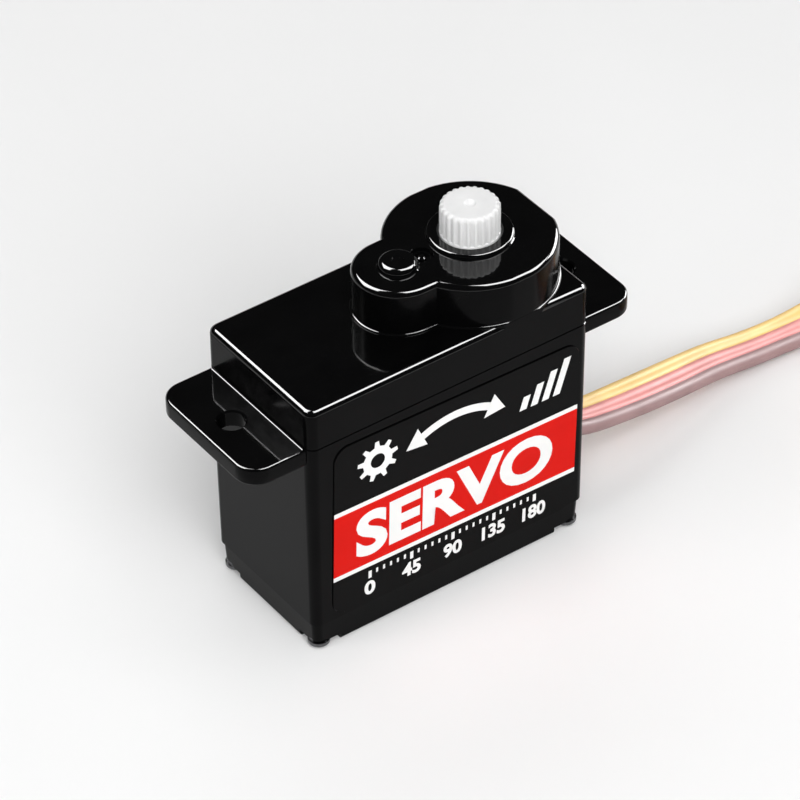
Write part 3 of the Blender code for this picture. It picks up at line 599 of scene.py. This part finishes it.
def smooth_path(points, spacing):
    """Places along a smooth curve through points of any number of values, about spacing apart."""
    points = [Vector(p) for p in points]
    padded = [2 * points[0] - points[1], *points, 2 * points[-1] - points[-2]]
    path = []
    for a, b, c, d in zip(padded, padded[1:], padded[2:], padded[3:]):
        steps = max(1, round((c.xyz - b.xyz).length / spacing))
        for i in range(steps):
            t = i / steps
            path.append(
                0.5
                * (
                    2 * b
                    + (c - a) * t
                    + (2 * a - 5 * b + 4 * c - d) * t * t
                    + (3 * b - 3 * c + d - a) * t**3
                )
            )
    return path + [points[-1]]


def coil_places():
    """The turns of the coil, clockwise from where the run reaches it to where the tail leaves."""
    upright = (COIL_LOW.z + COIL_HIGH.z) / 2
    inwards = (COIL_OUTER - COIL_INNER) / COIL_TURN
    step = 3
    places = []
    for turned_by in range(0, COIL_TURN, step):
        radius = COIL_OUTER - inwards * turned_by
        angle = radians(90 - turned_by)
        places.append((COIL_X + radius * cos(angle), COIL_Y + radius * sin(angle), upright, 90))
    return places


def tail_places():
    """From the coil's inside round to the plug, turning from its edge to flat."""
    out = COIL_INNER - TAIL_RADIUS
    x = COIL_X + out * cos(radians(TAIL_FROM))
    y = COIL_Y + out * sin(radians(TAIL_FROM))
    upright, flat = (COIL_LOW.z + COIL_HIGH.z) / 2, (PLUG_LOW.z + PLUG_HIGH.z) / 2
    held, steps = 0.32, 26
    places = []
    for i, (px, py) in enumerate(arc(x, y, TAIL_RADIUS, TAIL_FROM, TAIL_TO, steps)):
        share = min(1.0, max(0.0, (i / steps - held) / (0.95 - held)))
        eased = share * share * (3 - 2 * share)
        places.append((px, py, upright + (flat - upright) * eased, 90 * (1 - eased)))
    return places


def lead_section():
    """The outline of three wires side by side in one skin, and each stretch's wire."""
    r, meet = WIRE_RADIUS, WEB_ANGLE
    right = [(u, v, 0) for u, v in arc(2 * r, 0, r, meet - 180, 180 - meet, 14)]
    upper = [(u, v, 1) for u, v in arc(0, 0, r, meet, 180 - meet, 7)]
    left = [(u, v, 2) for u, v in arc(-2 * r, 0, r, meet, 360 - meet, 14)]
    lower = [(u, v, 1) for u, v in arc(0, 0, r, 180 + meet, 360 - meet, 7)]
    return right + upper + left + lower


def make_lead(materials):
    run = smooth_path(LEAD_RUN, PATH_SPACING)
    landing = Vector((COIL_X - 3.6, COIL_Y + COIL_OUTER + 0.03, run[-1].z, 90))
    path = run + [landing] + [Vector(p) for p in coil_places()] + [Vector(p) for p in tail_places()]
    section = lead_section()
    rings = []
    for i, place in enumerate(path):
        ahead = (path[min(i + 1, len(path) - 1)] - path[max(i - 1, 0)]).xyz.normalized()
        across = Vector((-ahead.y, ahead.x, 0)).normalized()
        across.rotate(Matrix.Rotation(radians(place.w), 3, ahead))
        normal = ahead.cross(across)
        rings.append([place.xyz + across * point[0] + normal * point[1] for point in section])
    lead = loft("lead", rings)
    for key in ("yellow_pvc", "red_pvc", "brown_pvc"):
        lead.data.materials.append(materials[key])
    count = len(section)
    for face in lead.data.polygons[2:]:
        face.material_index = section[(face.index - 2) % count][2]
    lead.data.shade_smooth()
    lead.data.set_sharp_from_angle(angle=radians(50))
    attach(lead, "case")
    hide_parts("lead_run", "lead_coil", "lead_tail")
    points = [p.xyz * MM for p in path]
    length = sum((b - a).length for a, b in zip(points, points[1:]))
    return lead, points, length


def make_tie(materials):
    """A flat plastic-covered wire, bent round the coil and twisted at its ends."""
    turned_by = 90 - TIE_ANGLE
    inwards = (COIL_OUTER - COIL_INNER) / COIL_TURN
    thick, wide = 0.12, 1.1
    inner = COIL_OUTER - inwards * (turned_by + 360) - WIRE_RADIUS - thick
    outer = COIL_OUTER - inwards * turned_by + WIRE_RADIUS + thick
    foot, top = COIL_LOW.z - 0.02, COIL_HIGH.z + 0.02
    loop = rounded_rectangle((outer - inner) / 2 + thick, (top - foot) / 2 + thick, 0.5, 6)
    radius, height = (inner + outer) / 2, (foot + top) / 2
    place = Matrix.Translation((COIL_X, COIL_Y, 0)) @ Matrix.Rotation(radians(TIE_ANGLE), 4, "Z")
    rings = []
    count = len(loop)
    for i, (u, v) in enumerate(loop):
        tangent = Vector(loop[(i + 1) % count]) - Vector(loop[i - 1])
        n = Vector((tangent.y, -tangent.x)).normalized()
        edge = arc(0, 0, 1, 0, 315, 7)
        ring = []
        for a, b in edge:
            p = Vector((radius + u + n.x * a * thick, b * wide, height + v + n.y * a * thick))
            ring.append(place @ p)
        rings.append(ring)
    points = [p for ring in rings for p in ring]
    m = len(rings[0])
    faces = []
    for i in range(count):
        for k in range(m):
            a, b = i * m, ((i + 1) % count) * m
            faces.append([a + k, b + k, b + (k + 1) % m, a + (k + 1) % m])
    band = made_object("tie_loop", mesh_of("tie_loop", points, faces))
    dress(band, materials["tie"], "case", "tie_plastic", "coil_tie", weighted=False)
    twist = []
    apart, turns, steps = 0.34, 2.2, 30
    for side in (0, pi):
        rings = []
        for i in range(steps + 1):
            t = i / steps
            spin = side + 2 * pi * turns * t
            centre = Vector((outer + 0.35 + 5.2 * t, apart * cos(spin), height + apart * sin(spin)))
            circle = arc(0, 0, 0.3, 0, 324, 9)
            rings.append([place @ (centre + Vector((0, a, b))) for a, b in circle])
        twist.append(loft("tie_twist", rings))
    for i, piece in enumerate(twist, 1):
        piece.name = f"tie_twist_{i}"
        dress(piece, materials["tie"], "case", "tie_plastic", weighted=False)
    return [band, *twist]


# ---- the case ----------------------------------------------------------------------------------


def make_lid(materials):
    """The glossy lid with its turret, boss, ring and gate mark."""
    foot = LID_SEAM + GAP
    body = [(foot, case_outline(0.05)), (foot + 0.05, case_outline(0))]
    body += [(CASE_TOP - drop, case_outline(inset)) for inset, drop in quarter(EDGE_RADIUS)]
    lid = stack("lid", body)
    flare = [(TURRET_FOOT_RADIUS - out, up) for out, up in quarter(TURRET_FOOT_RADIUS, 4)]
    turret = [(CASE_TOP - 0.6, turret_outline(-TURRET_FOOT_RADIUS, 0, 0))]
    turret += [
        (CASE_TOP + TURRET_FOOT_RADIUS - up, turret_outline(-out, 0, 0)) for out, up in flare
    ]
    turret += [
        (TURRET_TOP - drop, turret_outline(inset, inset, inset)) for inset, drop in quarter(EDGE_RADIUS)
    ]
    axle, output = (AXLE_X, 0), (OUTPUT_X, 0)
    boss_top, ring_top = TURRET_TOP + BOSS_HEIGHT, TURRET_TOP + RING_HEIGHT
    boss = [(BOSS_RADIUS + 0.08, TURRET_TOP - 0.5), (BOSS_RADIUS + 0.08, TURRET_TOP)]
    boss += [(BOSS_RADIUS, TURRET_TOP + 0.08)]
    boss += [(BOSS_RADIUS - inset, boss_top - drop) for inset, drop in quarter(0.44)]
    boss += [(0.42, boss_top), (0.36, boss_top - 0.07), (0.12, boss_top - 0.07)]
    ring = [(RING_RADIUS + 0.06, TURRET_TOP - 0.5), (RING_RADIUS + 0.06, TURRET_TOP)]
    ring += [(RING_RADIUS, TURRET_TOP + 0.06)]
    ring += [(RING_RADIUS - inset, ring_top - drop) for inset, drop in quarter(0.2)]
    join(
        lid,
        stack("turret", turret),
        turned("boss", boss, axle),
        turned("ring", ring, output, 96),
    )
    room = turret_outline(TURRET_WALL, END_WALL, TURRET_WALL)
    bore = JOURNAL_RADIUS + 0.05
    mouth = [(bore, 23), (bore, ring_top - 0.1), (bore + 0.1, ring_top), (bore + 0.1, ring_top + 1)]
    floor = TURRET_TOP - GATE_DEPTH
    groove = [(0.2, floor + 0.27), (0.3, floor + 0.2), (0.34, floor), (GATE_RADIUS - 0.06, floor)]
    groove += [(GATE_RADIUS, floor + 0.08), (GATE_RADIUS, TURRET_TOP - 0.05)]
    groove += [(GATE_RADIUS + 0.06, TURRET_TOP + 0.01), (GATE_RADIUS + 0.06, TURRET_TOP + 1)]
    cut(
        lid,
        prism("gear_room", notched_rectangle(END_WALL, SIDE_WALL), LID_SEAM - 1, LID_CEILING),
        prism("turret_room", room, LID_CEILING - 0.4, TURRET_CEILING),
        turned("bore", mouth, output, 96),
        rod("axle_seat", AXLE_SEAT_RADIUS, 23, AXLE_TOP, axle, 32),
        turned("gate_mark", groove, (GATE_X, 0), 40),
        *screw_hole_tools(LID_SEAM - 1, SCREW_TOP + GAP),
    )
    dress(lid, materials["case"], "case", "case_plastic", "top_case")
    gloss_tops_shade_walls(lid, materials["gloss"])


def screw_hole_tools(foot, top):
    places = [(sx * SCREW_X, sy * SCREW_Y) for sx in (-1, 1) for sy in (-1, 1)]
    return [rod(f"screw_hole_{i}", SCREW_HOLE_RADIUS, foot, top, at, 24) for i, at in enumerate(places)]


def make_middle(materials):
    """The middle case: drafted walls, the two flanges with their holes, and the lead's window."""
    foot = COVER_SEAM + GAP
    body = [(foot, case_outline(DRAFT + 0.06)), (foot + 0.06, case_outline(DRAFT))]
    body += [(FLANGE_BOTTOM, case_outline(0)), (LID_SEAM - 0.05, case_outline(0))]
    body += [(LID_SEAM, case_outline(0.05))]
    middle = stack("middle_case", body)

    def flange_outline(inset):
        radius = FLANGE_TIP_RADIUS - inset
        return rounded_rectangle(FLANGE_TIP - inset, FLANGE_HALF_WIDTH - inset, radius, 12)

    edge = quarter(FLANGE_EDGE, 4)
    flange = [(FLANGE_BOTTOM + drop, flange_outline(inset)) for inset, drop in reversed(edge)]
    flange += [(FLANGE_TOP - drop, flange_outline(inset)) for inset, drop in edge]
    join(middle, stack("flanges", flange))
    for side in (-1, 1):
        join(middle, make_flange_fillet(side))
    lead_side, lead_up = LEAD_WIDTH / 2 + 0.15, WIRE_RADIUS + 0.15
    motor_room = notched_rectangle(MOTOR_ROOM_WALL, MOTOR_ROOM_WALL)
    tools = [
        prism("motor_room", motor_room, COVER_SEAM - 1, DECK_BOTTOM),
        prism("gear_tray", notched_rectangle(END_WALL, SIDE_WALL), DECK_TOP, LID_SEAM + 1),
        rod("motor_hole", SHAFT_HOLE_RADIUS, DECK_BOTTOM - 1, DECK_TOP + 1.1, (MOTOR_X, 0)),
        rod("sensor_hole", SHAFT_HOLE_RADIUS, DECK_BOTTOM - 1, DECK_TOP + 1.1, (OUTPUT_X, 0)),
        rod("axle_seat", AXLE_SEAT_RADIUS, AXLE_FOOT, DECK_TOP + 1.1, (AXLE_X, 0), 32),
        block(
            "lead_window",
            (HALF_LENGTH - 2, HALF_LENGTH + 1),
            (-lead_side, lead_side),
            (LEAD_Z - lead_up, LEAD_Z + lead_up),
        ),
        *screw_hole_tools(COVER_SEAM - 1, LID_SEAM + 1),
    ]
    chamfer = 0.12
    for side in (-1, 1):
        r = MOUNT_HOLE_RADIUS
        hole = [(r + chamfer + 1, FLANGE_BOTTOM - 1), (r, FLANGE_BOTTOM + chamfer)]
        hole += [(r, FLANGE_TOP - chamfer), (r + chamfer + 1, FLANGE_TOP + 1)]
        tools.append(turned(f"mount_hole_{side}", hole, (side * MOUNT_HOLE_X, 0)))
    cut(middle, *tools)
    dress(middle, materials["case"], "case", "case_plastic", "mid_case")
    gloss_tops_shade_walls(middle, materials["gloss"])


def make_flange_fillet(side):
    """The small hollow fillet where a flange's top meets the end wall."""
    r, wall = 0.16, HALF_LENGTH + 0.004
    turns = [pi / 12 * i for i in range(6, -1, -1)]
    hollow = [(wall + r - r * cos(a), FLANGE_TOP + r - r * sin(a)) for a in turns]
    inside, under, joint = wall - 0.1, FLANGE_TOP - 0.1, LID_SEAM - 0.02
    profile = [(inside, under), (wall + r, under), *hollow, (wall, joint), (inside, joint)]
    half = FLANGE_HALF_WIDTH - FLANGE_EDGE
    return loft("fillet", [[(side * x, y, z) for x, z in profile] for y in (-half, half)])


def make_cover(materials):
    """The bottom cover, with its lip, its pocket and a recess in each corner."""
    step = DRAFT + COVER_STEP
    body = [
        (COVER_LOW.z + drop, case_outline(step + COVER_TAPER + inset))
        for inset, drop in reversed(quarter(0.25))
    ]
    body += [(COVER_SEAM - 0.05, case_outline(step)), (COVER_SEAM, case_outline(step + 0.05))]
    cover = stack("cover", body)
    outside = MOTOR_ROOM_WALL + 0.1
    inside = outside + 0.5
    lip = notched_rectangle(outside, outside, POST + 0.1)
    join(cover, prism("lip", lip, COVER_SEAM - 0.5, COVER_HIGH.z))
    tools = [prism("pocket", notched_rectangle(inside, inside, POST + 0.6), 1.0, COVER_SEAM + 2)]
    for i, (sx, sy) in enumerate(((-1, -1), (1, -1), (1, 1), (-1, 1))):
        along = sorted((sx * (HALF_LENGTH - RECESS_LENGTH), sx * (HALF_LENGTH + 1)))
        across = sorted((sy * (HALF_WIDTH - RECESS_WIDTH), sy * (HALF_WIDTH + 1)))
        tools.append(block(f"recess_{i}", along, across, (-1, RECESS_DEPTH)))
    cut(cover, *tools, *screw_hole_tools(-1, COVER_SEAM + 1))
    dress(cover, materials["case"], "case", "case_plastic", "bottom_cover")


def make_screws(materials):
    """Long screws whose domed heads have a cross recess."""
    head, slot, reach = SCREW_HEAD_RADIUS, 0.11, 0.48
    for i, (sx, sy) in enumerate(((-1, -1), (1, -1), (1, 1), (-1, 1)), 1):
        at = (sx * SCREW_X, sy * SCREW_Y)
        profile = [(0.3 * head, 0.02), (0.62 * head, 0.06), (0.88 * head, 0.16), (head, 0.28)]
        profile += [(head, SCREW_HEAD_TOP), (SCREW_RADIUS, SCREW_HEAD_TOP)]
        profile += [(SCREW_RADIUS, SCREW_TOP - 0.4), (0, SCREW_TOP)]
        screw = turned(f"screw_{i}", profile, at, 32)
        x, y = at
        cut(
            screw,
            block("slot_along", (x - reach, x + reach), (y - slot, y + slot), (-1, 0.3)),
            block("slot_across", (x - slot, x + slot), (y - reach, y + reach), (-1, 0.3)),
        )
        dress(screw, materials["screw"], "case", "screw_steel", f"case_screw_{i}")


# ---- the printed film --------------------------------------------------------------------------

FILM_BACK, FILM_FRONT, INK_FRONT = 0.02, 0.1, 0.118
LEAN = DRAFT / (FLANGE_BOTTOM - COVER_SEAM)
LABEL_X, LABEL_Z = 0.35, 9.8
LABEL_HALF_LENGTH, LABEL_HALF_HEIGHT = 10.25, 7.3
LABEL_TILT = 0.022  # in radians: the film is stuck on a little askew
WALL_Y = -HALF_WIDTH + (FLANGE_BOTTOM - LABEL_Z) * LEAN
FILM_PLACE = (
    Matrix.Translation(Vector((LABEL_X, WALL_Y, LABEL_Z)) * MM)
    @ Matrix.Rotation(LABEL_TILT, 4, "Y")
    @ Matrix.Rotation(LEAN, 4, "X")
)
BAND_LOW, BAND_HIGH = 5.62 - LABEL_Z, 11.6 - LABEL_Z
LINE_WIDTH = 0.36


def on_film(obj, material, slot="label_film"):
    obj.data.transform(FILM_PLACE)
    return dress(obj, material, "case", slot, weighted=False)


def film_plate(name, outline, back, front):
    """A thin plate in the film's plane, from an outline of (x, z) round the film's middle."""
    return loft(name, [[(x, -depth, z) for x, z in outline] for depth in (back, front)])


def printed(name, outlines):
    """Ink shapes on the film, joined in one object."""
    parts = [film_plate(name, outline, FILM_FRONT - 0.01, INK_FRONT) for outline in outlines]
    return merged(name, parts)


def merged(name, parts):
    """One object from several, whose shapes stay separate."""
    shape = bmesh.new()
    for part in parts:
        shape.from_mesh(part.data)
        bpy.data.objects.remove(part)
    data = bpy.data.meshes.new(name)
    shape.to_mesh(data)
    shape.free()
    return made_object(name, data)


def lettering(name, text, width, height, x, z, weight=0.0):
    """Plain generic lettering of this size, x and z being the middle of its foot on the film."""
    data = bpy.data.curves.new(name, "FONT")
    data.body = text
    data.offset = weight
    data.resolution_u = 6
    data.extrude = 0.5
    made = made_object(name, data)
    graph = bpy.context.evaluated_depsgraph_get()
    mesh = bpy.data.meshes.new_from_object(made.evaluated_get(graph))
    bpy.data.objects.remove(made)
    left, right = min(v.co.x for v in mesh.vertices), max(v.co.x for v in mesh.vertices)
    foot, top = min(v.co.y for v in mesh.vertices), max(v.co.y for v in mesh.vertices)
    for v in mesh.vertices:
        front = INK_FRONT if v.co.z > 0 else FILM_FRONT - 0.01
        along = x - width / 2 + width * (v.co.x - left) / (right - left)
        up = z + height * (v.co.y - foot) / (top - foot)
        v.co = Vector((along, -front, up)) * MM
    shape = bmesh.new()
    shape.from_mesh(mesh)
    bmesh.ops.remove_doubles(shape, verts=shape.verts, dist=1e-7)
    bmesh.ops.recalc_face_normals(shape, faces=shape.faces)
    shape.to_mesh(mesh)
    shape.free()
    return made_object(name, mesh)


def raised(obj, height):
    """Moves an ink shape out over what is printed under it."""
    for v in obj.data.vertices:
        v.co.y -= height * MM
    return obj


def make_label(materials):
    outline = rounded_rectangle(LABEL_HALF_LENGTH, LABEL_HALF_HEIGHT, 1.2)
    inner = rounded_rectangle(LABEL_HALF_LENGTH - 0.03, LABEL_HALF_HEIGHT - 0.03, 1.17)
    rings = [[(x, -FILM_BACK, z) for x, z in outline], [(x, -FILM_FRONT + 0.03, z) for x, z in outline]]
    rings.append([(x, -FILM_FRONT, z) for x, z in inner])
    film = loft("film", rings)
    film.data.transform(FILM_PLACE)
    dress(film, materials["film"], "case", "label_film", "label", weighted=False)
    side = LABEL_HALF_LENGTH - 0.02
    band = rectangle(-side, side, BAND_LOW + LINE_WIDTH, BAND_HIGH - LINE_WIDTH)
    on_film(printed("film_band", [band]), materials["red_ink"])
    lines = [
        rectangle(-side, side, BAND_LOW, BAND_LOW + LINE_WIDTH),
        rectangle(-side, side, BAND_HIGH - LINE_WIDTH, BAND_HIGH),
    ]
    on_film(printed("film_lines", lines), materials["white_ink"])
    word = lettering("film_word", "SERVO", 16.6, 3.9, -0.1, BAND_LOW + 1.05, 0.04)
    on_film(raised(word, 0.008), materials["white_ink"])
    make_dial(materials)
    make_symbols(materials)


def make_dial(materials):
    """Under the band: a ruler of the angles that the output turns through."""
    x0, x1, ticks, top = -7.2, 6.8, 25, -4.62
    outlines = []
    for i in range(ticks):
        x = x0 + (x1 - x0) * i / (ticks - 1)
        long = i % 6 == 0
        half, tall = (0.13, 0.62) if long else (0.08, 0.36)
        outlines.append(rectangle(x - half, x + half, top - tall, top))
        if long:
            angle = str(i * 180 // (ticks - 1))
            digit = 0.9 - 0.12 * (len(angle) - 1)
            number = lettering(f"film_angle_{angle}", angle, digit * len(angle), 1.2, x, top - 2.08, 0.035)
            on_film(number, materials["white_ink"])
    on_film(printed("film_ticks", outlines), materials["white_ink"])


def make_symbols(materials):
    """Over the band: a plain gear wheel, a bowed arrow both ways, and slanted bars."""
    gear_x, gear_z, teeth = -6.7, 4.9, 9
    wheel = []
    for i in range(teeth):
        for share, radius in ((0.06, 1.2), (0.19, 1.66), (0.45, 1.66), (0.58, 1.2)):
            a = 2 * pi * (i + share) / teeth
            wheel.append((gear_x + radius * cos(a), gear_z + radius * sin(a)))
    on_film(printed("film_gear", [wheel]), materials["white_ink"])
    hole = printed("film_gear_hole", [arc(gear_x, gear_z, 0.58, 0, 345, 23)])
    on_film(raised(hole, 0.006), materials["film"])
    x, z, radius, width, reach = -0.2, 5.85, 6.4, 0.62, 26
    upper = arc(x, z - radius, radius + width / 2, 90 - reach, 90 + reach, 20)
    lower = arc(x, z - radius, radius - width / 2, 90 + reach, 90 - reach, 20)
    arrow = [upper + lower]
    for side in (-1, 1):
        a = radians(90 - side * reach)
        out = Vector((cos(a), sin(a)))
        along = Vector((out.y, -out.x)) * side
        neck = Vector((x, z - radius)) + out * radius - along * 0.02
        head = [neck + along * 1.5, neck + out * 0.95 * side, neck - out * 0.95 * side]
        arrow.append([(p.x, p.y) for p in head])
    on_film(printed("film_arrow", arrow), materials["white_ink"])
    bars = []
    for i in range(4):
        foot, tall, wide, slant = 5.2 + 0.95 * i, 1.1 + 0.6 * i, 0.58, 0.3
        tip = foot + slant * tall
        bars.append([(foot, 3.5), (foot + wide, 3.5), (tip + wide, 3.5 + tall), (tip, 3.5 + tall)])
    on_film(printed("film_bars", bars), materials["white_ink"])


# ---- the output --------------------------------------------------------------------------------


def make_output(materials):
    """The white output gear: its wheel, collar, journal and fine spline with a rounded end."""
    at = (OUTPUT_X, 0)
    wheel_foot = GEAR_LOW.z
    gear = prism("output", gear_outline(36, 0.25, 5), wheel_foot, wheel_foot + 1.4, at)
    column = [(COLLAR_RADIUS, wheel_foot + 1.2), (COLLAR_RADIUS, COLLAR_TOP), (JOURNAL_RADIUS, COLLAR_TOP)]
    column += [(JOURNAL_RADIUS - inset, JOURNAL_TOP - drop) for inset, drop in quarter(0.08, 4)]
    end = 0.34  # the rounding of the spline's end
    spline = [(JOURNAL_TOP - 0.3, spline_outline(SPLINE_RADIUS, SPLINE_DEPTH))]
    for inset, drop in quarter(end, 8):
        fade = SPLINE_DEPTH * (1 - 0.35 * inset / end)
        spline.append((SPLINE_TOP - drop, spline_outline(SPLINE_RADIUS - inset, fade)))
    join(gear, turned("column", column, at, 96), stack("spline", spline, at))
    dimple = [(0.12, SPLINE_TOP - 0.26), (0.3, SPLINE_TOP - 0.16), (0.4, SPLINE_TOP - 0.03)]
    dimple += [(0.46, SPLINE_TOP + 0.01), (0.46, SPLINE_TOP + 0.5)]
    cut(gear, turned("dimple", dimple, at, 40), rod("socket", 0.93, 20, 23.03, at, 32))
    dress(gear, materials["nylon"], "output", "gear_nylon", "output_gear", angle=40)


# ---- the plug ----------------------------------------------------------------------------------


def make_plug(materials):
    """The three-way plug: a housing with rounded edges, a channel and a window for each contact."""
    end = Vector(tail_places()[-1]).xyz
    heading = radians(TAIL_TO - 90)
    place = Matrix.Translation(Vector((end.x, end.y, 0)) * MM) @ Matrix.Rotation(heading, 4, "Z")
    rear, long, half, tall = 0.3, 14.0, 3.9, PLUG_HIGH.z
    front = rear + long
    outline = rounded_rectangle(half, tall / 2, 0.3, 4)
    small = rounded_rectangle(half - 0.15, tall / 2 - 0.15, 0.2, 4)
    levels = ((rear, small), (rear + 0.15, outline), (front - 0.15, outline), (front, small))
    housing = loft("plug", [[(x, y, z + tall / 2) for y, z in ring] for x, ring in levels])
    tools = []
    for i in (-1, 0, 1):
        y, r = i * 2.54, 0.78
        middle = tall / 2
        spans = (
            ("channel", (rear - 1, rear + 11.8), r, (middle - r, middle + r)),
            ("mouth", (rear + 11, front + 1), 0.45, (middle - 0.45, middle + 0.45)),
            ("window", (rear + 6.4, rear + 8.6), 0.7, (middle, tall + 1)),
            ("groove", (rear + 3.2, rear + 5.6), 0.25, (tall - 0.2, tall + 1)),
        )
        for kind, along, side, high in spans:
            tools.append(block(f"{kind}_{i}", along, (y - side, y + side), high))
    cut(housing, *tools)
    housing.data.transform(place)
    dress(housing, materials["plug"], "case", "plug_plastic", "connector_housing")
    return housing


# ---- everything --------------------------------------------------------------------------------

FINISHES = {
    "nylon": ("gear_1", "gear_2", "gear_3"),
    "steel": ("gear_axle", "motor_shaft", "sensor_shaft", "sensor_pin_1", "sensor_pin_2", "sensor_pin_3"),
    "can": ("motor_can",),
    "inner": ("motor_end_cap", "sensor_housing"),
    "wiper": ("sensor_wiper",),
    "brass": (
        "motor_pinion",
        "motor_commutator",
        "motor_brush_1",
        "motor_brush_2",
        "connector_contact_1",
        "connector_contact_2",
        "connector_contact_3",
    ),
    "magnet": ("motor_magnet_1", "motor_magnet_2"),
    "winding": ("motor_armature",),
    "board": ("control_board",),
    "chip": ("control_chip", "driver_chip"),
    "ceramic": ("board_capacitor",),
    "phenolic": ("sensor_element",),
    "wire_red": ("motor_wire_1",),
    "wire_black": ("motor_wire_2",),
}


def finish_inner_pieces(materials):
    """Gives the CAD nodes that stay visible their materials."""
    for key, nodes in FINISHES.items():
        for node in nodes:
            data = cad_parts[node].data
            data.materials.clear()
            data.materials.append(materials[key])


def make_stage(materials):
    """A pale floor that curves up far away on every side, as a studio sweep does."""
    profile = [(1.2, 0), (1.6, 0.03), (2.0, 0.12), (2.4, 0.3), (2.7, 0.55)]
    shape = bmesh.new()
    rows = []
    steps = 64
    for radius, z in profile:
        ring = arc(0, 0, radius, 0, 360 - 360 / steps, steps - 1)
        rows.append([shape.verts.new((x, y, z)) for x, y in ring])
    shape.faces.new(rows[0])
    for low, high in zip(rows, rows[1:]):
        for i in range(steps):
            j = (i + 1) % steps
            shape.faces.new((low[i], high[i], high[j], low[j]))
    data = bpy.data.meshes.new("floor")
    shape.to_mesh(data)
    shape.free()
    data.shade_smooth()
    floor = made_object("floor", data)
    data.materials.append(materials["floor"])


def floor_finish():
    made = Nodes("pale_floor", roughness=0.9, specular_ior_level=0.0)
    cloud = [(0.3, (0.895, 0.895, 0.895)), (0.7, (0.91, 0.91, 0.91))]
    made.link(made.ramp(made.noise(40), cloud), "Base Color")
    return made.material


def main():
    make_camera()
    materials = make_materials()
    materials["floor"] = floor_finish()
    lead, path, length = make_lead(materials)
    tie = make_tie(materials)
    plug = make_plug(materials)
    make_lid(materials)
    make_middle(materials)
    make_cover(materials)
    make_screws(materials)
    make_label(materials)
    make_output(materials)
    finish_inner_pieces(materials)
    make_stage(materials)
    make_lights()


main()
